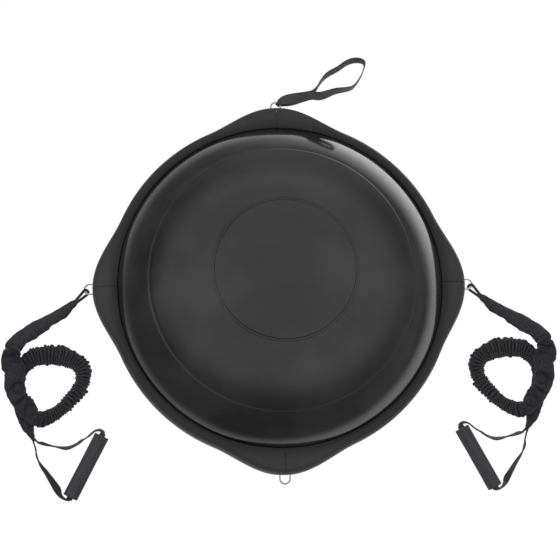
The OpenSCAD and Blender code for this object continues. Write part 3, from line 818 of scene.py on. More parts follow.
def stitches(name: str, lines: Sequence[np.ndarray], look: Look, spacing: float = 0.0032,
             length: float = 0.0024, thick: float = 0.0007) -> bpy.types.Object:
    """Sews short stitches along lines, with Geometry Nodes.

    Args:
        name: The piece's name.
        lines: Lines of points in metres.
        look: The thread's finish.
        spacing: Distance from stitch to stitch.
        length: Length of a stitch.
        thick: Thickness of the thread.

    Returns:
        The piece.
    """
    points = np.vstack(lines)
    starts = np.cumsum([0] + [len(line) for line in lines])
    edges = [(k, k + 1) for start, end in zip(starts, starts[1:]) for k in range(start, end - 1)]
    mesh = bpy.data.meshes.new(name)
    mesh.from_pydata(points.tolist(), edges, [])
    piece = link(name, mesh, look)
    inputs = {"Spacing": spacing, "Length": length, "Thickness": thick, "Material": look.material}
    tree = GeometryTree(name + "_sewing", inputs)
    graph = tree.graph
    curve = graph.node("GeometryNodeMeshToCurve", {}, {"Mesh": tree.source})
    sockets = {"Curve": curve, "Length": tree.input("Spacing")}
    spots = graph.node("GeometryNodeCurveToPoints", {"mode": "LENGTH"}, sockets)
    bead = graph.node("GeometryNodeMeshUVSphere", {}, {"Segments": 8, "Rings": 5, "Radius": 0.5})
    thread = tree.input("Thickness")
    size = graph.node("ShaderNodeCombineXYZ", {}, {"X": thread, "Y": thread, "Z": tree.input("Length")})
    sockets = {"Points": spots, "Instance": bead, "Rotation": spots.beside("Rotation"), "Scale": size}
    tree.run(piece, graph.node("GeometryNodeInstanceOnPoints", {}, sockets))
    piece.data.polygons.foreach_set("use_smooth", [True] * len(piece.data.polygons))
    return piece


def lathe(name: str, outline: Sequence[tuple[float, float]], look: Look, sides: int) -> bpy.types.Object:
    """Turns a closed outline about Z.

    Args:
        name: The piece's name.
        outline: Points of radius and height, clockwise with the radius to the right.
        look: Its finish.
        sides: Number of steps in a full turn.

    Returns:
        The piece.
    """
    radius, height = np.array(outline).T
    turn = np.linspace(0, math.tau, sides, endpoint=False)[:, None]
    rows = np.stack([radius * np.cos(turn), radius * np.sin(turn), height + 0 * turn], -1)
    return skin(name, rows, look, loop=True, crease=30)


@dataclass
class Studio:
    """Camera, pale floor and soft light."""

    eye: tuple[float, float, float] = (-0.1163, -0.3602, 1.8963)
    aim: tuple[float, float, float] = (-0.0009, 0.0088, 0.036)
    roll: float = math.radians(1.437)
    lens_mm: float = 71.42
    sensor_mm: float = 36.0
    white: float = 1.04
    dim: float = 0.22
    floor_r: float = 0.85
    floor_sides: int = 96
    floor_colour: Colour = grey(130)
    floor_glow: float = 0.96
    paper_middle: tuple[float, float] = (0.05, -0.08)
    paper_fade: tuple[float, float] = (0.36, 0.58)
    paper_gloss: float = 1.4
    window_fade: tuple[float, float] = (0.36, 0.84)
    window_gloss: float = 1.55
    window_turn: float = math.radians(48)
    window_focus: float = 4.0
    sky_fade: tuple[float, float] = (0.0, 0.40)
    sky_lean: float = 0.3
    sky_gloss: float = 0.76
    far_fade: tuple[float, float] = (-0.3, 0.8)
    far_gloss: float = 0.2
    ambient: float = 0.52
    ambient_fade: tuple[float, float] = (-0.15, 0.65)
    lamp_place: tuple[float, float, float] = (-0.5, 0.3, 2.6)
    lamp_size: float = 2.0
    lamp_watts: float = 26.0

    def build(self) -> None:
        """Sets up the studio."""
        bpy.context.scene.view_settings.view_transform = "Standard"
        self.camera()
        self.floor()
        self.surroundings()
        self.lamp()

    def camera(self) -> None:
        """Places the camera at the photograph's viewing angle."""
        lens = bpy.data.cameras.new("camera")
        lens.lens = self.lens_mm
        lens.sensor_width = self.sensor_mm
        view = bpy.data.objects.new("camera", lens)
        ahead = (Vector(self.aim) - Vector(self.eye)).normalized()
        right = ahead.cross(Vector((math.sin(self.roll), math.cos(self.roll), 0))).normalized()
        up = right.cross(ahead)
        view.matrix_world = Matrix.Translation(self.eye) @ Matrix((right, up, -ahead)).transposed().to_4x4()
        bpy.context.scene.collection.objects.link(view)
        bpy.context.scene.camera = view

    def floor(self) -> None:
        """Lays a round pale floor that shows white and keeps a faint shadow."""
        made = bmesh.new()
        bmesh.ops.create_circle(made, cap_ends=True, segments=self.floor_sides, radius=self.floor_r)
        mesh = bpy.data.meshes.new("floor")
        made.to_mesh(mesh)
        made.free()
        piece = bpy.data.objects.new("floor", mesh)
        bpy.context.scene.collection.objects.link(piece)
        material = bpy.data.materials.new("floor_pale")
        graph = blank(material)
        rays = graph.node("ShaderNodeLightPath", out="Is Camera Ray")
        gloss = rays.beside("Is Glossy Ray")
        seen = rays.most(gloss).most(rays.beside("Is Transmission Ray"))
        x, y, _ = graph.parts(graph.place())
        reach = (x * x + y * y).root()
        aside = (x - self.paper_middle[0]) ** 2 + (y - self.paper_middle[1]) ** 2
        paper_end = 1 - aside.root().between(*self.paper_fade)
        toward = (self.to_window(x, y) / reach).most(0.0)
        window = toward ** self.window_focus * (1 - reach.between(*self.window_fade))
        mirrored = self.dim + paper_end * self.paper_gloss + window * self.window_gloss
        paper = graph.node("ShaderNodeBsdfDiffuse", {}, {"Color": self.floor_colour})
        strength = self.white + gloss * (mirrored - self.white)
        glow = graph.node("ShaderNodeEmission", {}, {"Strength": strength})
        mixed = graph.node("ShaderNodeMixShader", {}, {0: seen * self.floor_glow, 1: paper, 2: glow})
        graph.end("ShaderNodeOutputMaterial", "Surface", mixed)
        mesh.materials.append(material)

    def to_window(self, x: Sock, y: Sock) -> Sock:
        """Gives how far a place or a direction goes towards the window."""
        return x * math.cos(self.window_turn) + y * math.sin(self.window_turn)

    def surroundings(self) -> None:
        """Makes the world white to the camera, and a soft room to gloss and to light."""
        world = bpy.data.worlds.new("room")
        bpy.context.scene.world = world
        graph = blank(world)
        rays = graph.node("ShaderNodeLightPath", out="Is Camera Ray")
        mirrored = rays.beside("Is Glossy Ray")
        x, y, z = graph.parts(graph.node("ShaderNodeTexCoord", out="Generated"))
        overhead = (z + y.least(0.0) * self.sky_lean).between(*self.sky_fade)
        far = self.to_window(x, y).between(*self.far_fade)
        gloss = self.dim + overhead * self.sky_gloss + far * (1 - overhead) * self.far_gloss
        room = mirrored * gloss + (1 - mirrored) * (self.ambient * z.between(*self.ambient_fade))
        level = rays + (1 - rays) * room
        light = graph.node("ShaderNodeBackground", {}, {"Color": (1, 1, 1, 1), "Strength": level})
        graph.end("ShaderNodeOutputWorld", "Surface", light)

    def lamp(self) -> None:
        """Hangs a large soft lamp above, which shows in no reflection."""
        source = bpy.data.lights.new("overhead", "AREA")
        source.size = self.lamp_size
        source.energy = self.lamp_watts
        holder = bpy.data.objects.new("overhead", source)
        turned = (-Vector(self.lamp_place)).to_track_quat("-Z", "Y").to_matrix().to_4x4()
        holder.matrix_world = Matrix.Translation(self.lamp_place) @ turned
        holder.visible_camera = False
        holder.visible_glossy = False
        bpy.context.scene.collection.objects.link(holder)


@dataclass
class Dome:
    """The air dome: a spherical shell with two moulded circles, made by a rule in Geometry Nodes."""

    groove_r: float = 0.275
    groove_z: float = 0.050
    rise: float = 0.145
    wall: float = 0.004
    skirt: float = 0.012
    circles: tuple[float, ...] = (0.219, 0.1155)
    circle_w: float = 0.006
    circle_depth: float = 0.0006
    join: float = 0.00001
    sides: int = 192
    rows: int = 200

    def build(self) -> None:
        """Makes the shell."""
        ball = (self.groove_r ** 2 + self.rise ** 2) / (2 * self.rise)
        inputs = {
            "Groove radius": self.groove_r, "Skirt": self.skirt,
            "Ball radius": ball, "Ball height": self.groove_z + self.rise - ball,
            "Circle width": self.circle_w, "Circle depth": self.circle_depth,
            "Sides": self.sides + 1, "Rows": self.rows, "Material": Look.DOME.material,
        }
        tree = GeometryTree("dome_rule", inputs)
        graph = tree.graph
        counts = {"Vertices X": tree.input("Sides"), "Vertices Y": tree.input("Rows")}
        sheet = graph.node("GeometryNodeMeshGrid", {}, {"Size X": 1.0, "Size Y": 1.0, **counts})
        across, along, _ = graph.parts(graph.node("GeometryNodeInputPosition"))
        rim, skirt = tree.input("Groove radius"), tree.input("Skirt")
        reach = (along + 0.5) * (rim + skirt)
        radius = reach.least(rim)
        height = tree.input("Ball height") + (tree.input("Ball radius") ** 2 - radius ** 2).root()
        height = height - (reach - rim).most(0.0)
        for circle in self.circles:
            off = ((radius - circle).abs() / tree.input("Circle width") * 2).least(1.0)
            height = height - tree.input("Circle depth") * (1 - off ** 2) ** 2
        angle = (across + 0.5) * -math.tau
        sockets = {"X": radius * angle.cos(), "Y": radius * angle.sin(), "Z": height}
        point = graph.node("ShaderNodeCombineXYZ", {}, sockets)
        shaped = graph.node("GeometryNodeSetPosition", {}, {"Geometry": sheet, "Position": point})
        closed = graph.node("GeometryNodeMergeByDistance", {}, {"Geometry": shaped, "Distance": self.join})
        smooth = graph.node("GeometryNodeSetShadeSmooth", {}, {"Geometry": closed})
        shell = link("dome_skin", bpy.data.meshes.new("dome_skin"), Look.DOME)
        tree.run(shell, smooth)
        wall = shell.modifiers.new("wall", "SOLIDIFY")
        wall.thickness = self.wall
        wall.offset = -1
        settle(shell)
        hand_over(shell, "platform", "dome_vinyl", "dome_shell")


@dataclass
class RimCovers:
    """Four quarter covers that meet in a seam at each lobe."""

    rim_r: float = 0.296
    lobe_reach: float = 0.024
    lobe_half: float = 24.0
    inner_r: float = 0.2756
    bead_r: float = 0.0022
    top: float = 0.0506
    under_bead: float = 0.046
    edge_w: float = 0.013
    edge_h: float = 0.020
    fall: float = 0.12
    wall: float = 0.003
    bottom: float = 0.008
    window_half: float = 0.013
    window_top: float = 0.028
    seam: float = 0.0005
    seam_round: float = 0.0004
    line_depth: float = 0.0004
    end_round: float = 0.0004
    lip_turn: float = 0.08
    window_edge_turn: float = 0.03
    first_turn: float = 0.3
    steps: int = 130
    quarters: tuple[str, ...] = ("ne", "nw", "sw", "se")
    top_shares: tuple[float, ...] = (0.18, 0.25, 0.32, 0.5, 0.75)

    def build(self) -> None:
        """Makes the four covers."""
        tip = self.rim_r + self.lobe_reach
        seam = math.degrees(self.seam / 2 / tip)
        window = math.degrees(self.window_half / tip)
        lips = [(seam, True, True), (seam + self.lip_turn, True, False), (window, True, False),
                (window + self.window_edge_turn, False, False)]
        first = window + self.first_turn
        inside = [(angle, False, False) for angle in np.linspace(first, 90 - first, self.steps)]
        stations = lips + inside + [(90 - angle, low, end) for angle, low, end in reversed(lips)]
        for turn, quarter in enumerate(self.quarters):
            rows = np.array([self.station(angle, low, end, 90 * turn) for angle, low, end in stations])
            cover = skin(f"rim_{quarter}", rows, Look.RIM, crease=32)
            hand_over(cover, "platform", "rim_plastic", f"cover_{quarter}")

    def reach(self, angle: float) -> float:
        """Gives the rim's radius at an angle.

        Args:
            angle: The angle in degrees.

        Returns:
            The radius.
        """
        off = abs((angle + 45) % 90 - 45)
        lobe = (1 + math.cos(math.pi * off / self.lobe_half)) / 2 if off < self.lobe_half else 0
        return self.rim_r + self.lobe_reach * lobe

    def station(self, angle: float, window: bool, end: bool, turn: float) -> np.ndarray:
        """Gives the cover's section at an angle.

        Args:
            angle: The angle within the quarter, in degrees.
            window: Whether a ring's window cuts the wall short here.
            end: Whether this is the section at the seam, which is rounded off.
            turn: The angle that the quarter starts at.

        Returns:
            The section's points.
        """
        low = self.window_top if window else self.bottom
        outer = self.line(self.reach(angle), low, 0.0)
        inner = self.line(self.reach(angle), low, self.wall)
        if end:
            way = unit(np.gradient(outer, axis=0))
            outer = outer - self.seam_round * np.stack([-way[:, 1], way[:, 0]], -1)
        loop = np.vstack([outer, inner[::-1]])
        heading = math.radians(angle + turn)
        return np.stack([loop[:, 0] * math.cos(heading), loop[:, 0] * math.sin(heading), loop[:, 1]], -1)

    def line(self, reach: float, low: float, wall: float) -> np.ndarray:
        """Gives the cover's outer line, or its inner one a wall further in, as radius and height.

        Args:
            reach: The rim's radius here.
            low: The height at which the wall ends.
            wall: The distance inwards.

        Returns:
            The line from the groove to the wall's end.
        """
        bead = np.array([self.inner_r + self.bead_r, self.top - self.bead_r])
        crown = self.top - self.fall * (reach - self.edge_w - self.inner_r - self.bead_r)
        edge = np.array([reach - self.edge_w, crown - self.edge_h])
        arc = np.radians(np.linspace(0, 90, 9))[:, None]
        nose = bead + (self.bead_r - wall) * np.hstack([-np.cos(arc), np.sin(arc)])
        round_off = edge + np.hstack([(self.edge_w - wall) * np.sin(arc), (self.edge_h - wall) * np.cos(arc)])
        share = np.array(self.top_shares)[:, None]
        top = nose[-1] * (1 - share) + round_off[0] * share
        if not wall:
            top[1, 1] -= self.line_depth
        start = np.array([[self.inner_r + wall, self.under_bead]])
        foot = np.array([[reach - wall, low + self.end_round], [reach - max(wall, self.end_round), low]])
        return np.vstack([start, nose, top, round_off, foot])


@dataclass
class Fittings:
    """Feet, screws, rings and the other small parts of the platform."""

    foot_count: int = 8
    foot_r: float = 0.016
    foot_circle: float = 0.262
    deck_screw_circle: float = 0.210
    post_circle: float = 0.2955
    post_turn: float = 11.0
    flange_z: float = 0.010
    head_r: float = 0.003
    head_h: float = 0.002
    head_edge: float = 0.4
    cross: tuple[float, float, float] = (0.62, 0.14, 0.5)
    foot_sides: int = 40
    head_sides: int = 24
    foot_seed: int = 3
    head_seed: int = 11

    # Distance in from a foot's radius and height, from the deck down to the sole
    FOOT_RIM: ClassVar[tuple[tuple[float, float], ...]] = (
        (0.0022, DECK_Z), (0.0016, DECK_Z - 0.0004), (0.0002, 0.0016), (0.0006, 0.0004), (0.0014, 0.0),
    )
    # Radius and height over the two rings on a foot's sole, from the outside in
    FOOT_SOLE: ClassVar[tuple[tuple[float, float], ...]] = (
        (0.0092, 0.0), (0.0088, 0.0008), (0.0074, 0.0008), (0.0070, 0.0), (0.0034, 0.0), (0.0030, 0.0008),
        (HUB_R, 0.0008),
    )

    def build(self) -> None:
        """Makes the feet and screws and dresses the nodes that stay."""
        middles = [360 / self.foot_count * (k + 0.5) for k in range(self.foot_count)]
        self.feet(middles)
        posts = [90 * k + s * self.post_turn for k in range(4) for s in (-1, 1)]
        self.screws("deck_screw_heads", "deck_screws", self.ring(middles, self.deck_screw_circle, DECK_Z))
        self.screws("cover_screw_heads", "cover_screws", self.ring(posts, self.post_circle, self.flange_z))
        self.dress()

    def ring(self, angles: Sequence[float], radius: float, height: float) -> list[tuple[float, float, float]]:
        """Gives places on a circle at angles in degrees."""
        turns = [math.radians(angle) for angle in angles]
        return [(radius * math.cos(turn), radius * math.sin(turn), height) for turn in turns]

    def feet(self, angles: Sequence[float]) -> None:
        """Makes the eight rubber feet, with a rounded edge and two rings on the sole.

        Args:
            angles: The feet's angles in degrees.
        """
        rim = [(self.foot_r - inset, height) for inset, height in self.FOOT_RIM]
        outline = [(HUB_R, DECK_Z), *rim, *self.FOOT_SOLE]
        pattern = lathe("foot_pattern", outline, Look.FOOT, self.foot_sides)
        places = self.ring(angles, self.foot_circle, 0.0)
        feet = copies("rubber_feet", places, pattern, Look.FOOT, self.foot_seed, False)
        hand_over(feet, "platform", "foot_rubber", *[f"foot_{k + 1}" for k in range(self.foot_count)])

    def screws(self, name: str, node: str, places: Sequence[tuple[float, float, float]]) -> None:
        """Makes the domed heads of one set of screws, with a cross cut into each.

        Args:
            name: The piece's name.
            node: The node that it stands for.
            places: The middles of the heads' upper faces.
        """
        r, h, edge = self.head_r, self.head_h, self.head_edge
        arc = [math.radians(angle) for angle in (75, 60, 45, 30)]
        outline = [(HUB_R, 0.0), (r, 0.0), (r, -edge * h)]
        outline += [(r * math.sin(a), -edge * h - (1 - edge) * h * math.cos(a)) for a in arc] + [(HUB_R, -h)]
        head = lathe(name + "_pattern", outline[::-1], Look.ZINC, self.head_sides)
        made = bmesh.new()
        long, wide, deep = self.cross
        for x, y in ((long * r, wide * r), (wide * r, long * r)):
            box = bmesh.ops.create_cube(made, size=2)["verts"]
            bmesh.ops.scale(made, vec=(x, y, deep * h), verts=box)
            bmesh.ops.translate(made, vec=(0, 0, -h), verts=box)
        tool_mesh = bpy.data.meshes.new("cross")
        made.to_mesh(tool_mesh)
        made.free()
        tool = link("cross", tool_mesh, Look.ZINC)
        cut = head.modifiers.new("cross", "BOOLEAN")
        cut.object = tool
        cut.use_self = True
        settle(head)
        bpy.data.objects.remove(tool)
        heads = copies(name, places, head, Look.ZINC, self.head_seed, True)
        hand_over(heads, "platform", "screw_steel", node)

    def dress(self) -> None:
        """Gives the rigid nodes that stay their finishes."""
        worn = {
            "platform_deck": Look.PLATFORM, "platform_pan": Look.PLATFORM,
            "clamp_ring": Look.ZINC, "clamp_screws": Look.ZINC, "clip_screws": Look.ZINC,
            "valve_body": Look.VALVE, "valve_plug": Look.VALVE,
        }
        worn.update({f"ring_{way}": Look.STEEL for way in "nwse"})
        worn.update({f"ring_clip_{way}": Look.ZINC for way in "nwse"})
        worn.update({f"grip_core_{way}": Look.CORE for way in "we"})
        worn.update({f"rib_frame_{way}": Look.PLATFORM for way in ("nw", "sw", "se", "ne")})
        for node, look in worn.items():
            piece = bpy.data.objects[node]
            piece.data.materials.clear()
            piece.data.materials.append(look.material)


@dataclass
class Strip:
    """Flat webbing along a route of place, width, and the heading and rise of its width, in millimetres."""

    route: np.ndarray
    thick: float
    spans: int = 10
    sides: int = 20
    edge_round: tuple[float, float] = (0.45, 0.55)
    map_half: float = 10.0
    bar_share: float = 0.8
    bar_points: int = 9

    def __post_init__(self) -> None:
        """Works out the strip's middle line and the directions across it."""
        run, self.where = spline(self.route, self.spans)
        self.middle, self.width = run[:, :3], run[:, 3]
        self.ahead = unit(np.gradient(self.middle, axis=0))
        heading, rise = np.radians(run[:, 4]), np.radians(run[:, 5])
        aim = np.stack([np.cos(rise) * np.cos(heading), np.cos(rise) * np.sin(heading), np.sin(rise)], -1)
        self.across = unit(aim - self.ahead * np.sum(aim * self.ahead, axis=1, keepdims=True))
        self.out = np.cross(self.ahead, self.across)

    def rows(self) -> tuple[np.ndarray, np.ndarray]:
        """Makes the strip's skin.

        Returns:
            Its points in millimetres, and its UV map in metres.
        """
        turn = np.linspace(0, math.tau, self.sides, endpoint=False)
        flat, fat = (np.sign(wave) * np.abs(wave) ** power
                     for wave, power in zip((np.cos(turn), np.sin(turn)), self.edge_round))
        wide = self.width[:, None] / 2 * flat
        points = self.middle[:, None] + wide[..., None] * self.across[:, None]
        points = points + (self.thick / 2 * fat)[None, :, None] * self.out[:, None]
        along = np.repeat(lengths(self.middle)[:, None], self.sides + 1, axis=1)
        around = np.repeat(np.append(flat, flat[0])[None] * self.map_half, len(points), axis=0)
        return points, np.stack([along, around], -1) * MM

    def line(self, start: float, end: float, share: float, face: int) -> np.ndarray:
        """Gives a sewing line on a face of the strip, in millimetres.

        Args:
            start: The route's point at which it starts.
            end: The route's point at which it ends.
            share: Its place across the strip, from -1 to 1.
            face: 1 for the outer face and -1 for the inner one.

        Returns:
            The line's points.
        """
        pick = (self.where >= start) & (self.where <= end)
        side = (self.width[pick] / 2 * share)[:, None] * self.across[pick]
        return self.middle[pick] + side + face * (self.thick / 2) * self.out[pick]

    def bar(self, place: float, face: int) -> np.ndarray:
        """Gives a sewing line straight across the strip, in millimetres.

        Args:
            place: The route's point at which it lies.
            face: 1 for the outer face and -1 for the inner one.

        Returns:
            The line's points.
        """
        k = int(np.argmin(np.abs(self.where - place)))
        side = np.linspace(-self.bar_share, self.bar_share, self.bar_points)[:, None] * self.width[k] / 2
        side = side * self.across[k]
        return self.middle[k] + side + face * (self.thick / 2) * self.out[k]


@dataclass(frozen=True)
class Cloth:
    """Places over a sleeve: along it in millimetres, around it from 0 to 1, and on its route."""

    along: np.ndarray
    around: np.ndarray
    where: np.ndarray

    @property
    def facing(self) -> np.ndarray:
        """How far each place faces the loop's outer side, from -1 to 1."""
        return np.cos(math.tau * self.around)

    @property
    def upward(self) -> np.ndarray:
        """How far each place faces up, from -1 to 1."""
        return np.sin(math.tau * self.around)

    def distance(self, place: float) -> float:
        """Gives the distance along the sleeve to a place on its route."""
        return float(np.interp(place, self.where, self.along[:, 0]))

    def stretch(self, span: tuple[float, float], ease: float) -> np.ndarray:
        """Gives 1 inside a span of the route and 0 outside, with eased ends.

        Args:
            span: The places at which it starts and ends.
            ease: How much of the route each end takes.

        Returns:
            The share at each row.
        """
        start, end = span
        rise = np.clip((self.where - start) / ease + 0.5, 0, 1)
        share = rise * np.clip((end - self.where) / ease + 0.5, 0, 1)
        return (share * share * (3 - 2 * share))[:, None]


@dataclass(frozen=True)
class Ripple:
    """One layer of smooth noise over a sleeve, with its height and the length of a cell in millimetres."""

    height: float
    draw: int
    cells: int
    length: float

    def over(self, cloth: Cloth, seed: int) -> np.ndarray:
        """Gives the layer's height at each place, drawn from the sleeve's seed and its own number."""
        noise = Unevenness(seed + self.draw, self.cells)
        return self.height * noise(cloth.along / self.length, cloth.around)


@dataclass(frozen=True)
class SleeveFolds:
    """The pleats, creases and wrinkles of a gathered sleeve, in millimetres off its plain shape, with the
    painted shade of their creases.
    """

    seed: int
    gather_ease: float = 0.7
    smooth_ease: float = 0.8
    pleat: float = 4.9
    pleat_depth: float = 3.2
    pleat_base: float = 0.5
    pleat_widths: tuple[float, float] = (0.6, 1.45)
    pleat_rests: tuple[float, float] = (0.0, 0.3)
    pleat_round: float = 1.7
    pleat_shade: int = 3
    spare_before: int = 4
    spare: int = 10
    finger_round: int = 5
    finger_base: float = 0.75
    patch_mean: float = 0.75
    patch_least: float = 0.15
    crease_reach: float = 0.6
    crease_top: float = 0.3
    puff_off: float = 3
    puff_width: float = 1.6
    puff_share: float = 0.4
    dent_shade: float = 0.3
    dent_darkest: float = 0.85
    line_gap: float = 11
    line_slant: float = 0.35
    line_width: float = 0.16
    line_depth: float = 1.1
    line_shade: float = 0.42
    knuckle_out: float = 3.4
    knuckle_shade: float = 0.35
    knuckle_darkest: float = 0.8
    lump_shade: float = 0.25
    full_width: float = 11
    least_room: float = 0.2
    round_gap: float = 9
    round_depth: float = 1.6

    # Height, number of the draw, cells around the sleeve, and length of a cell
    SWAY: ClassVar[tuple[Ripple, ...]] = (Ripple(2.2, 0, 5, 14), Ripple(0.9, 1, 9, 6))
    BEND: ClassVar[tuple[Ripple, ...]] = (Ripple(3.2, 4, 4, 15), Ripple(1.0, 5, 9, 6))
    PATCHES: ClassVar[tuple[Ripple, ...]] = (Ripple(0.7, 6, 5, 12),)
    LONG: ClassVar[tuple[Ripple, ...]] = (Ripple(0.8, 7, 6, 26), Ripple(0.9, 8, 11, 11))
    FINE: ClassVar[tuple[Ripple, ...]] = (Ripple(0.3, 9, 24, 4),)
    LUMPS: ClassVar[tuple[Ripple, ...]] = (Ripple(1.8, 12, 6, 7),)
    # Place on the route, slant to the outer side, depth, width, and share of the outer side
    CREASES: ClassVar[np.ndarray] = np.array([
        [4.45, 2, 3.0, 2.6, 0.5], [4.75, -5, 2.8, 2.4, 0.4], [5.15, 4, 2.6, 2.6, 0.6],
        [5.6, -1, 3.2, 2.4, 0.6], [7.1, 7, 1.6, 2.4, 0.5], [8.25, 2, 3.2, 2.2, 0.3],
        [8.75, 6, 1.6, 2.2, 0.4], [9.3, -5, 2.0, 2.2, 0.5], [9.7, 3, 2.2, 2.0, 0.4],
        [20.4, 3, 1.8, 2.4, 0.5], [24.6, -6, 2.0, 2.6, 0.5], [25.6, 5, 1.8, 2.2, 0.5],
    ])
    # Place on the route and strength of the fine fold lines
    FOLDED: ClassVar[np.ndarray] = np.array([[-0.5, 0], [1, 0.35], [4, 0.5], [5, 1], [26, 1], [27, 0]])
    # Places on the route: the gathered stretch, and the knuckle and the loop's tip with their spreads
    GATHERS: ClassVar[tuple[float, float]] = (9.9, 20.0)
    KNUCKLE: ClassVar[tuple[float, float]] = (5.3, 0.4)
    TIP: ClassVar[tuple[float, float]] = (15.0, 1.4)
    # Least and greatest share of a pleat's depth at its outer end, its top and its inner end
    PLEAT_SPREAD: ClassVar[tuple[tuple[float, float], ...]] = ((0.5, 1.6), (0.7, 1.1), (0.5, 1.3))

    def uneven(self, layers: Sequence[Ripple], cloth: Cloth) -> np.ndarray:
        """Adds up layers of noise over the cloth."""
        return sum(layer.over(cloth, self.seed) for layer in layers)

    def smooth(self, cloth: Cloth) -> np.ndarray:
        """Gives 1 on the smooth stretches and 0 on the gathered one."""
        return 1 - cloth.stretch(self.GATHERS, self.smooth_ease)

    def closeness(self, spot: tuple[float, float], cloth: Cloth) -> np.ndarray:
        """Gives 1 at a place on the route, falling to 0 past its spread."""
        place, spread = spot
        return np.exp(-((cloth.where - place) / spread) ** 2)[:, None]

    def ridges(self, along: np.ndarray, start: float, end: float, seed: int) -> tuple[np.ndarray, ...]:
        """Gives rounded ridges of uneven width, with creases of uneven depth between them.

        Args:
            along: Place along the sleeve in millimetres.
            start: Where the ridges start.
            end: Where they end.
            seed: The seed of their widths and depths.

        Returns:
            How near each place is to a crease from 0 to 1, how far that crease stays up, and its ridge.
        """
        draw = np.random.default_rng(seed)
        count = int((end - start) / self.pleat) + self.spare
        widths = self.pleat * draw.uniform(*self.pleat_widths, count)
        edges = start - self.spare_before * self.pleat + np.cumsum(widths)
        shallow = draw.uniform(*self.pleat_rests, count)
        ridge = np.clip(np.searchsorted(edges, along) - 1, 0, count - 2)
        place = np.clip((along - edges[ridge]) / (edges[ridge + 1] - edges[ridge]), 0, 1)
        rest = shallow[ridge] * (1 - place) + shallow[ridge + 1] * place
        return np.abs(2 * place - 1), rest, ridge

    def gathers(self, cloth: Cloth) -> tuple[np.ndarray, np.ndarray]:
        """Gives the pleats across the gathered loop, ragged at their ends and most of all at the loop's tip.

        Args:
            cloth: Places over the sleeve.

        Returns:
            The swell in millimetres, and the painted shade of the pleats' creases, as the share of light kept
            from 0 to 1.
        """
        share = cloth.stretch(self.GATHERS, self.gather_ease)
        start, end = (cloth.distance(place) for place in self.GATHERS)
        facing = cloth.facing
        swayed = cloth.along + self.uneven(self.SWAY, cloth)
        near, rest, ridge = self.ridges(swayed, start, end, self.seed + 2)
        height = rest + (1 - rest) * (1 - near ** self.pleat_round)
        draw = np.random.default_rng(self.seed + 3)
        count = ridge.max() + 2
        outer, top, inner = (draw.uniform(low, high, count)[ridge] for low, high in self.PLEAT_SPREAD)
        finger = (1 - near ** self.finger_round) * np.where(facing > 0, outer, inner) - self.finger_base
        finger = finger * np.where(facing > 0, 1 + self.closeness(self.TIP, cloth), 1)
        swell = (height * top - self.pleat_base) * (1 - facing ** 2) + finger * facing ** 2
        # Painted shade darkens each pleat's crease
        return share * self.pleat_depth * swell, 1 - share * (1 - height ** self.pleat_shade)

    def creases(self, cloth: Cloth) -> tuple[np.ndarray, np.ndarray]:
        """Gives the few creases across the smooth stretches, and the knuckle where the sleeve turns.

        Args:
            cloth: Places over the sleeve.

        Returns:
            The swell in millimetres, and the painted shade of the creases, fold lines and knuckle, as the
            share of light kept from 0 to 1.
        """
        along, facing, upward = cloth.along, cloth.facing, cloth.upward
        bend = self.uneven(self.BEND, cloth)
        patchy = np.clip(self.patch_mean + self.uneven(self.PATCHES, cloth), self.patch_least, 1)
        swell = 0 * along
        unshaded = 1 + 0 * along
        for place, slant, depth, width, outward in self.CREASES:
            off = along - cloth.distance(place) - slant * facing + bend
            lean = (2 * outward - 1) * facing
            reach = patchy * np.clip(self.crease_reach + lean + self.crease_top * upward, 0, 1)
            beside = np.abs(off) - self.puff_off * width
            puff = reach * np.exp(-(beside / (self.puff_width * width)) ** 2)
            dent = reach * np.exp(-(off / width) ** 2)
            swell = swell - depth * dent + self.puff_share * depth * puff
            # Painted shade darkens the cloth in each crease
            unshaded = unshaded * (1 - min(self.dent_darkest, self.dent_shade * depth) * dent)
        folded = self.smooth(cloth) * np.interp(cloth.where, *self.FOLDED.T)[:, None]
        slanted = along / self.line_gap + self.line_slant * facing
        lines = Unevenness(self.seed + 10, 3)(slanted, cloth.around)
        lines = folded * patchy * np.exp(-(lines / self.line_width) ** 2)
        knuckle = self.closeness(self.KNUCKLE, cloth)
        lumps = self.uneven(self.LUMPS, cloth)
        bulge = self.knuckle_out * np.clip(facing, 0, 1) + np.clip(upward, 0, 1) + lumps
        dark = np.clip(self.knuckle_shade - self.lump_shade * lumps, 0, self.knuckle_darkest)
        swell = swell - self.line_depth * lines + knuckle * bulge
        # Painted shade along the fine fold lines and in the bunched knuckle
        return swell, unshaded * (1 - self.line_shade * lines) * (1 - knuckle * dark)

    def wrinkles(self, cloth: Cloth, half_width: np.ndarray) -> np.ndarray:
        """Gives the soft wrinkles along the smooth stretches.

        Args:
            cloth: Places over the sleeve.
            half_width: The plain sleeve's half width at each row, in millimetres.

        Returns:
            The swell in millimetres.
        """
        room = np.clip(half_width / self.full_width, self.least_room, 1)
        rounds = Unevenness(self.seed + 11, 2)(cloth.along / self.round_gap, 0 * cloth.along)
        inner = np.clip(-cloth.facing, 0, 1) * rounds
        soft = self.uneven(self.LONG, cloth) + self.round_depth * inner
        return room * (self.smooth(cloth) * soft + self.uneven(self.FINE, cloth))


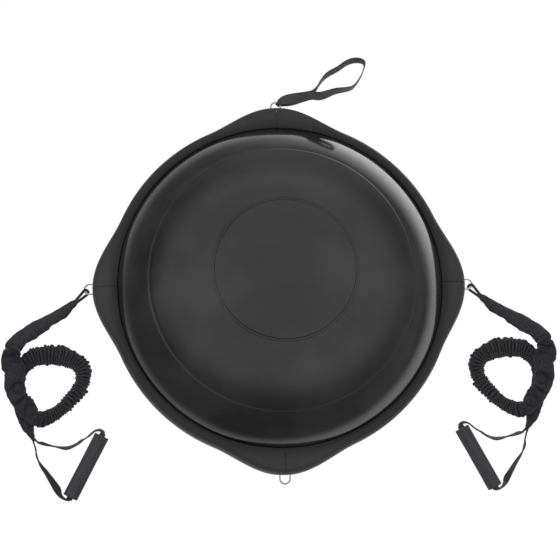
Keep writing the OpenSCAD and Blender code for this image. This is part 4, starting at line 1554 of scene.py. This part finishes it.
@dataclass
class Band:
    """One resistance band: hitch cord, gathered sleeve, webbing handle and foam grip.

    Its places are in millimetres from the ring's eye, with X away from the dome.
    """

    side: Side
    seed: int = 5
    pull: float = math.radians(40)
    lean: float = math.radians(20)
    bow_r: float = 8.5
    hitch_half: tuple[float, float] = (4.3, 8.0)
    cord_d: float = 4.8
    cord_sides: int = 16
    neck_len: float = 23.3
    throat_len: float = 13.3
    strand_off: float = 2.2
    strand_ends: tuple[float, float] = (3.0, -4.0)
    cloth_d: float = 30.0
    sides: int = 72
    spans: int = 60
    row_step: float = 0.75
    girth: float = 85.0
    widest: float = 20.5
    floor_gap: float = 0.5
    floor_soft: float = 2.0
    swell_rise: float = 0.8
    shade: float = 0.12
    lit_from: float = 0.1
    lit_over: float = 0.5
    web_t: float = 2.4
    grip_mid: tuple[float, float, float] = (4.0, -297.5, 12.8)
    grip_turn: float = math.radians(117.3)
    grip_len: float = 112.0
    foam_r: float = 12.5
    core_r: float = 8.5
    core_gap: float = 0.05
    waist: float = 0.25
    ease: float = 0.9
    foam_uneven: float = 0.12
    foam_cell: float = 16.0
    foam_cells: int = 10
    foam_start: int = 20
    grip_rows: int = 41
    grip_sides: int = 64

    # The sleeve's middle line from its neck to its throat
    ROUTE: ClassVar[np.ndarray] = np.array([
        [42.5, -35.5, 15.5], [51.5, -42.5, 15], [75, -56.5, 15.5], [98, -73, 21], [117.5, -92, 32],
        [124.5, -115.5, 41], [119.5, -140, 44], [118, -163.5, 44], [110, -185, 44], [97, -204, 42],
        [81.5, -217.5, 32], [67.5, -215, 19], [50.5, -205, 14.5], [31, -186, 14.5], [14, -163, 14.5],
        [10.5, -140.5, 14.5], [22, -122.5, 14.5], [45, -113, 14.5], [67.5, -111, 14.5], [89, -114.5, 14.5],
        [106.5, -126, 14.5], [117.5, -145, 14.5], [118, -167, 14.5], [113.5, -189, 14.5], [107, -209, 16],
        [101, -226, 19], [97.5, -235.5, 17], [95, -242, 12.5],
    ])
    # Place on the route, half width on the loop's outer and inner side, and half height
    SHAPE: ClassVar[np.ndarray] = np.array([
        [-1, 4.8, 4.8, 3.6], [-0.8, 6.2, 7, 4.4], [-0.5, 7, 8.2, 5.4], [0, 7.8, 9, 7], [1, 10, 9.8, 9],
        [2, 11.6, 11.2, 10.6], [3, 14.2, 11.8, 11.6], [4, 14.6, 11.8, 11.8], [5, 15.6, 14, 11.8],
        [6, 16.8, 16.4, 12], [7, 17, 15.4, 12], [8, 16, 15, 12], [8.6, 14, 16.4, 12], [9.2, 15, 14.2, 11.6],
        [10, 13, 11.6, 10.8], [11, 12.8, 11, 10.6], [12, 11.6, 11, 10.6], [13, 13, 10, 11],
        [14, 13, 11.8, 11.6], [15, 14.2, 12.6, 12], [16, 13.2, 14.8, 12], [17, 16.8, 17, 12],
        [18, 15.4, 16.8, 12], [19, 17, 14.6, 12], [20, 14, 13, 11.6], [22, 12.6, 12.6, 11.2],
        [24, 13.5, 13, 11], [25, 11, 11, 9.6], [26, 8.8, 9, 7.8], [27, 5.6, 5.2, 6], [28, 3.2, 2.6, 3.8],
    ])
    # Place on the route and the share of light that its cloth keeps there under painted shade
    DULL: ClassVar[np.ndarray] = np.array([
        [0, 0.74], [3.8, 0.74], [5.2, 0.56], [9.4, 0.58], [10.6, 0.9], [20, 0.9], [22, 0.6],
    ])
    # Place, width, and the heading and rise of the width in degrees
    WEB: ClassVar[np.ndarray] = np.array([
        [92, -247.5, 9.4, 9, 347, 90], [85.5, -255, 8.4, 11, 330, 86], [79.5, -257, 9, 14, 290, 72],
        [69, -260.5, 9.6, 17, 272, 78], [56, -263.5, 9.8, 18, 268, 86], [37, -266.5, 9.8, 18, 268, 70],
        [23, -262, 9.8, 18, 258, 72], [13, -255.5, 10, 18, 245, 72], [6, -251.5, 10.6, 17, 238, 84],
        [-1, -246.5, 11.6, 16, 232, 76], [-9, -240, 13, 14, 236, 76], [-16.5, -238, 13.4, 12.5, 262, 72],
        [-22, -240, 13.2, 11.5, 325, 70], [-23.5, -244, 12.8, 11.5, 383, 60],
        [-21, -249, 12.8, 13.2, 387, 50],
        [4, -297.5, 12.8, 13.2, 387, 50], [29, -346, 12.8, 13.2, 387, 50], [31.5, -350, 12.7, 11.5, 390, 56],
        [35, -351, 12.2, 12, 412, 68], [40, -349, 11, 13, 450, 70], [46, -343.5, 9.8, 15, 490, 58],
        [51, -334.5, 8.6, 17, 510, 42], [59.5, -321.5, 8.6, 18, 513, 52], [69.5, -306.5, 9.2, 18, 510, 62],
        [79.5, -293, 9.6, 17, 510, 72], [85.5, -280, 9.6, 15, 515, 88], [88, -267, 8.6, 12, 525, 78],
        [94, -248.5, 9.4, 9, 527, 90],
    ])
    # Places on the route that are sewn round
    SEWN: ClassVar[tuple[float, ...]] = (-0.85, -0.7, 27.25, 27.45)

    @property
    def body(self) -> str:
        """The body that carries the band."""
        return f"{self.side.value}_band"

    def build(self) -> None:
        """Makes the band's pieces."""
        hitch = self.hitch()
        sleeve, path = self.sleeve()
        web = self.webbing()
        grip = self.grip()
        self.sewing()
        # The bands were pictured apart from the dome, so its gloss leaves them out
        for piece in (hitch, sleeve, web, grip, bpy.data.objects[f"grip_core_{self.side.tag}"]):
            piece.visible_glossy = False

    def world(self, points: np.ndarray) -> np.ndarray:
        """Takes points from millimetres beside the ring's eye to metres in the frame."""
        return (points * MM + np.array([EYE_R, 0.0, 0.0])) * np.array([self.side.sign, 1.0, 1.0])

    def outward(self, rows: np.ndarray, uv: np.ndarray) -> tuple[np.ndarray, np.ndarray]:
        """Places rows and keeps their faces outwards on the mirrored side."""
        placed = self.world(rows)
        return (placed[:, ::-1], uv[:, ::-1]) if self.side.sign < 0 else (placed, uv)

    def frames(self, middle: np.ndarray) -> tuple[np.ndarray, np.ndarray]:
        """Gives the directions across a line of points.

        Args:
            middle: The line's points.

        Returns:
            The level and the raised direction at each point.
        """
        ahead = unit(np.gradient(middle, axis=0))
        level = unit(np.cross(np.array([0.0, 0.0, 1.0]), ahead))
        return level, np.cross(ahead, level)

    def line(self) -> tuple[np.ndarray, np.ndarray]:
        """Runs the sleeve's middle line with its neck and throat, in even steps.

        Returns:
            The line's points, and the place on the route of each.
        """
        first, last = unit(self.ROUTE[1] - self.ROUTE[0]), unit(self.ROUTE[-1] - self.ROUTE[-2])
        neck, throat = self.ROUTE[:1] - self.neck_len * first, self.ROUTE[-1:] + self.throat_len * last
        run, where = spline(np.vstack([neck, self.ROUTE, throat]), self.spans)
        reach = lengths(run)
        even = np.linspace(0, reach[-1], int(reach[-1] / self.row_step))
        middle = np.stack([np.interp(even, reach, run[:, k]) for k in range(3)], -1)
        return middle, np.interp(even, reach, where - 1)

    def hitch(self) -> bpy.types.Object:
        """Makes the thin cord that loops through the D-ring.

        Returns:
            The cord.
        """
        way = np.array([math.cos(self.pull), -math.sin(self.pull), 0.0])
        aside = np.array([math.sin(self.pull), math.cos(self.pull), 0.0])
        rise = math.sin(self.lean) * aside + math.cos(self.lean) * np.array([0.0, 0.0, 1.0])
        neck = self.line()[0][0]
        bow = self.bow_r * way + np.array([0.0, 0.0, RING_Z / MM])
        near, high = self.hitch_half
        turns = np.radians(np.arange(90, 271, 22.5))
        loop = [bow + near * math.cos(a) * way + high * math.sin(a) * rise for a in turns]
        tuck, leave = self.strand_ends
        steps = ((tuck, 1), (leave, 1), (leave, -1), (tuck, -1))
        strands = [neck + along * way + hand * self.strand_off * aside for along, hand in steps]
        middle, _ = spline(np.array(strands[:2] + loop + strands[2:]), 10)
        level, raised = self.frames(middle)
        turn = np.linspace(0, math.tau, self.cord_sides, endpoint=False)
        spread = np.cos(turn)[None, :, None] * level[:, None] + np.sin(turn)[None, :, None] * raised[:, None]
        rows = middle[:, None] + self.cord_d / 2 * spread
        columns = self.cord_sides + 1
        along = np.repeat(lengths(middle)[:, None], columns, axis=1) * MM
        around = np.repeat(np.linspace(0, math.pi * self.cord_d, columns)[None], len(middle), axis=0) * MM
        placed, uv = self.outward(rows, np.stack([along, around], -1))
        cord = skin(f"hitch_loop_{self.side.tag}", placed, Look.HITCH, uv=uv)
        hand_over(cord, self.body, "hitch_braid", f"hitch_cord_{self.side.tag}")
        path = self.world(middle)
        return cord

    def sleeve(self) -> tuple[bpy.types.Object, np.ndarray]:
        """Makes the gathered sleeve.

        Returns:
            The sleeve and its middle line in metres.
        """
        middle, where = self.line()
        level, raised = self.frames(middle)
        reach = lengths(middle)
        around = np.linspace(0, 1, self.sides, endpoint=False)[None]
        cloth = Cloth(reach[:, None] + 0 * around, around, where)
        places, *columns = self.SHAPE.T
        outer, inner, tall = (np.interp(where, places, column)[:, None] for column in columns)
        folds = SleeveFolds(self.seed)
        # ridge holds the painted shade of the pleats' creases
        pleats, ridge = folds.gathers(cloth)
        creases, unshaded = folds.creases(cloth)
        swell = pleats + creases + folds.wrinkles(cloth, outer)
        half = np.where(cloth.facing > 0, outer, inner) + swell
        flat = np.clip(half * cloth.facing, -self.widest, self.widest)
        up = (tall + swell * self.swell_rise) * cloth.upward
        rows = middle[:, None] + flat[..., None] * level[:, None] + up[..., None] * raised[:, None]
        floor, soft, height = self.floor_gap, self.floor_soft, rows[..., 2]
        pressed = floor + soft * np.exp((height - floor - soft) / soft)
        rows[..., 2] = np.where(height < floor + soft, pressed, height)
        girth = np.linspace(0, self.girth * MM, self.sides + 1)
        uv = np.stack([np.repeat(reach[:, None], self.sides + 1, axis=1) * MM,
                       np.repeat(girth[None], len(reach), axis=0)], -1)
        # Painted shade: the cloth darkens on its underside, which faces the floor
        lit = self.shade + (1 - self.shade) * np.clip((cloth.upward - self.lit_from) / self.lit_over, 0, 1)
        # Painted shade: creases, underside and the shaded stretches along the route all darken the tone
        painted_shade = ridge * unshaded * lit * np.interp(where, *self.DULL.T)[:, None]
        placed, uv = self.outward(rows, uv)
        painted_shade = painted_shade[:, ::-1] if self.side.sign < 0 else painted_shade
        tag = self.side.tag
        painted_shade = np.ascontiguousarray(painted_shade)
        piece = skin(f"gathered_sleeve_{tag}", placed, Look.CLOTH, uv=uv, crease=80, painted_shade=painted_shade)
        nodes = [f"band_{part}_{tag}" for part in ("neck", "sleeve", "tube", "throat")]
        hand_over(piece, self.body, "band_cloth", *nodes)
        return piece, self.world(middle)

    def webbing(self) -> bpy.types.Object:
        """Makes the webbing that runs from the throat through the grip and back.

        Returns:
            The webbing.
        """
        points, uv = Strip(self.WEB, self.web_t).rows()
        placed, uv = self.outward(points, uv)
        tag = self.side.tag
        web = skin(f"handle_webbing_{tag}", placed, Look.HANDLE_WEB, uv=uv, crease=60)
        return hand_over(web, self.body, "handle_webbing", f"handle_web_{tag}")

    def grip(self) -> bpy.types.Object:
        """Makes the foam grip, with rounded ends and a hand's slight waist.

        Returns:
            The grip.
        """
        half, r, core, ease = self.grip_len / 2, self.foam_r, self.core_r + self.core_gap, self.ease
        arc = np.radians(np.linspace(0, 90, 5))
        run = np.linspace(-half + ease, half - ease, self.grip_rows)
        body = [(x, r - self.waist * math.cos(math.pi * x / (2 * half)) ** 2) for x in run]
        left = [(-half + ease - ease * math.cos(a), r - ease + ease * math.sin(a)) for a in arc[:-1]]
        right = [(half - ease + ease * math.sin(a), r - ease + ease * math.cos(a)) for a in arc[1:]]
        inner = [(half, core), (0.0, core), (-half, core)]
        section = np.array(left + body + right + inner)
        sides = self.grip_sides
        turn = np.linspace(0, math.tau, sides, endpoint=False)[:, None]
        along = section[:, 0] / self.foam_cell + self.foam_start + 0 * turn
        around = turn / math.tau + 0 * section[:, 0]
        uneven = self.foam_uneven * Unevenness(self.seed + 20, self.foam_cells)(along, around)
        radius = section[:, 1] + np.where(section[:, 1] > r - 1, uneven, 0)
        way = np.array([math.cos(self.grip_turn), math.sin(self.grip_turn), 0.0])
        aside, up = np.array([-way[1], way[0], 0.0]), np.array([0.0, 0.0, 1.0])
        spread = np.cos(turn)[..., None] * aside + np.sin(turn)[..., None] * up
        rows = np.array(self.grip_mid) + section[:, 0][None, :, None] * way + radius[..., None] * spread
        rows = rows[:, ::-1]
        along = np.repeat(np.append(section[::-1, 0], section[-1, 0])[None], sides + 1, axis=0)
        around = np.repeat(np.linspace(0, math.tau * r, sides + 1)[:, None], rows.shape[1] + 1, axis=1)
        uv = np.stack([along, around], -1) * MM
        placed, uv = self.outward(rows, uv)
        tag = self.side.tag
        foam = skin(f"foam_grip_{tag}", placed, Look.FOAM, loop=True, uv=uv, crease=35)
        return hand_over(foam, f"{self.side.value}_grip", "grip_foam", f"grip_foam_{tag}")

    def sewing(self) -> None:
        """Sews the neck round the hitch cord and the throat round the webbing."""
        middle, where = self.line()
        level, raised = self.frames(middle)
        turn = np.linspace(0, math.tau, 25)[:, None]
        rounds = []
        places, *columns = self.SHAPE.T
        for place in self.SEWN:
            k = int(np.argmin(np.abs(where - place)))
            outer, inner, tall = (np.interp(place, places, column) for column in columns)
            wide = np.where(np.cos(turn) > 0, outer, inner)
            round_line = middle[k] + wide * np.cos(turn) * level[k] + tall * np.sin(turn) * raised[k]
            rounds.append(self.world(round_line))
        sewn = stitches(f"band_stitches_{self.side.tag}", rounds, Look.THREAD)
        hand_over(sewn, self.body, "hitch_braid")


@dataclass
class CarryStrap:
    """The webbing loop on the north D-ring."""

    thick: float = 2.0
    bow_r: float = 7.5
    pull: float = math.radians(50)
    eye_w: float = 8.0
    turn_r: float = 3.1
    sewn: tuple[float, float] = (2.6, 4.2)
    sewn_share: float = 0.8

    # Place from the ring's eye, width, and the heading and rise of the width in degrees
    POINTS: ClassVar[list[list[float]]] = [
        [10, 10, 22, 13, 128, 2], [19, 14, 18.6, 18, 112, 6], [32, 17, 15.4, 20, 100, 16],
        [52, 21, 13.4, 20, 98, 55], [66.5, 24, 12.4, 20, 98, 65], [84, 24.5, 11, 20, 104, 62],
        [108.5, 33, 10.8, 20, 106, 76], [126.5, 36, 10.8, 20, 106, 84], [140, 40, 10.8, 20, 130, 88],
        [151.5, 53, 10.8, 20, 150, 90], [160.5, 70.5, 10.8, 20, 150, 90], [163.5, 86.5, 10.8, 20, 100, 90],
        [150.5, 92, 10.8, 20, 95, 84], [133, 88, 10.8, 20, 118, 80], [114.5, 75.5, 10.8, 20, 122, 80],
        [95, 64, 10.8, 20, 128, 80], [83.5, 51.5, 10.8, 20, 135, 86], [76, 39.5, 10.8, 20, 140, 88],
        [67, 28.5, 10.8, 20, 112, 70], [51.5, 24, 10, 20, 100, 58], [32.5, 18, 9.8, 20, 100, 16],
        [19.5, 13, 12.5, 18, 112, 6], [10.5, 8.5, 16, 13, 128, 2],
    ]

    def build(self) -> None:
        """Makes the strap and its sewing."""
        strip = Strip(self.route(), self.thick)
        points, uv = strip.rows()
        strap = skin("carry_webbing", self.world(points), Look.STRAP_WEB, uv=uv, crease=60)
        hand_over(strap, "north_ring", "strap_webbing", "carry_strap")
        lines = [strip.line(*self.sewn, share, 1) for share in (-self.sewn_share, self.sewn_share)]
        lines += [strip.bar(place, 1) for place in self.sewn]
        sewn = stitches("strap_stitches", [self.world(line) for line in lines], Look.THREAD)
        hand_over(sewn, "north_ring", "strap_webbing")

    def route(self) -> np.ndarray:
        """Gives the strap's route with its turn round the ring's bow."""
        return np.array([self.turn(90), *self.POINTS, *[self.turn(angle) for angle in (270, 225, 180, 135)]])

    def turn(self, angle: float) -> list[float]:
        """Gives one place of the turn round the bow's wire.

        Args:
            angle: The angle round the wire in degrees.

        Returns:
            A row of the route.
        """
        reach = self.bow_r + self.turn_r * math.cos(math.radians(angle))
        height = RING_Z / MM + self.turn_r * math.sin(math.radians(angle))
        heading = math.degrees(self.pull) + 90
        return [reach * math.cos(self.pull), reach * math.sin(self.pull), height, self.eye_w, heading, 0]

    def world(self, points: np.ndarray) -> np.ndarray:
        """Takes points from millimetres beside the ring's eye to metres in the frame."""
        return points * MM + np.array([0.0, EYE_R, 0.0])


def main() -> None:
    """Builds the trainer in order."""
    logging.basicConfig(level=logging.INFO, format="%(name)s: %(message)s")
    Studio().build()
    for side in Side:
        Band(side).build()
    CarryStrap().build()
    Dome().build()
    RimCovers().build()
    Fittings().build()


if __name__ == "__main__":
    main()
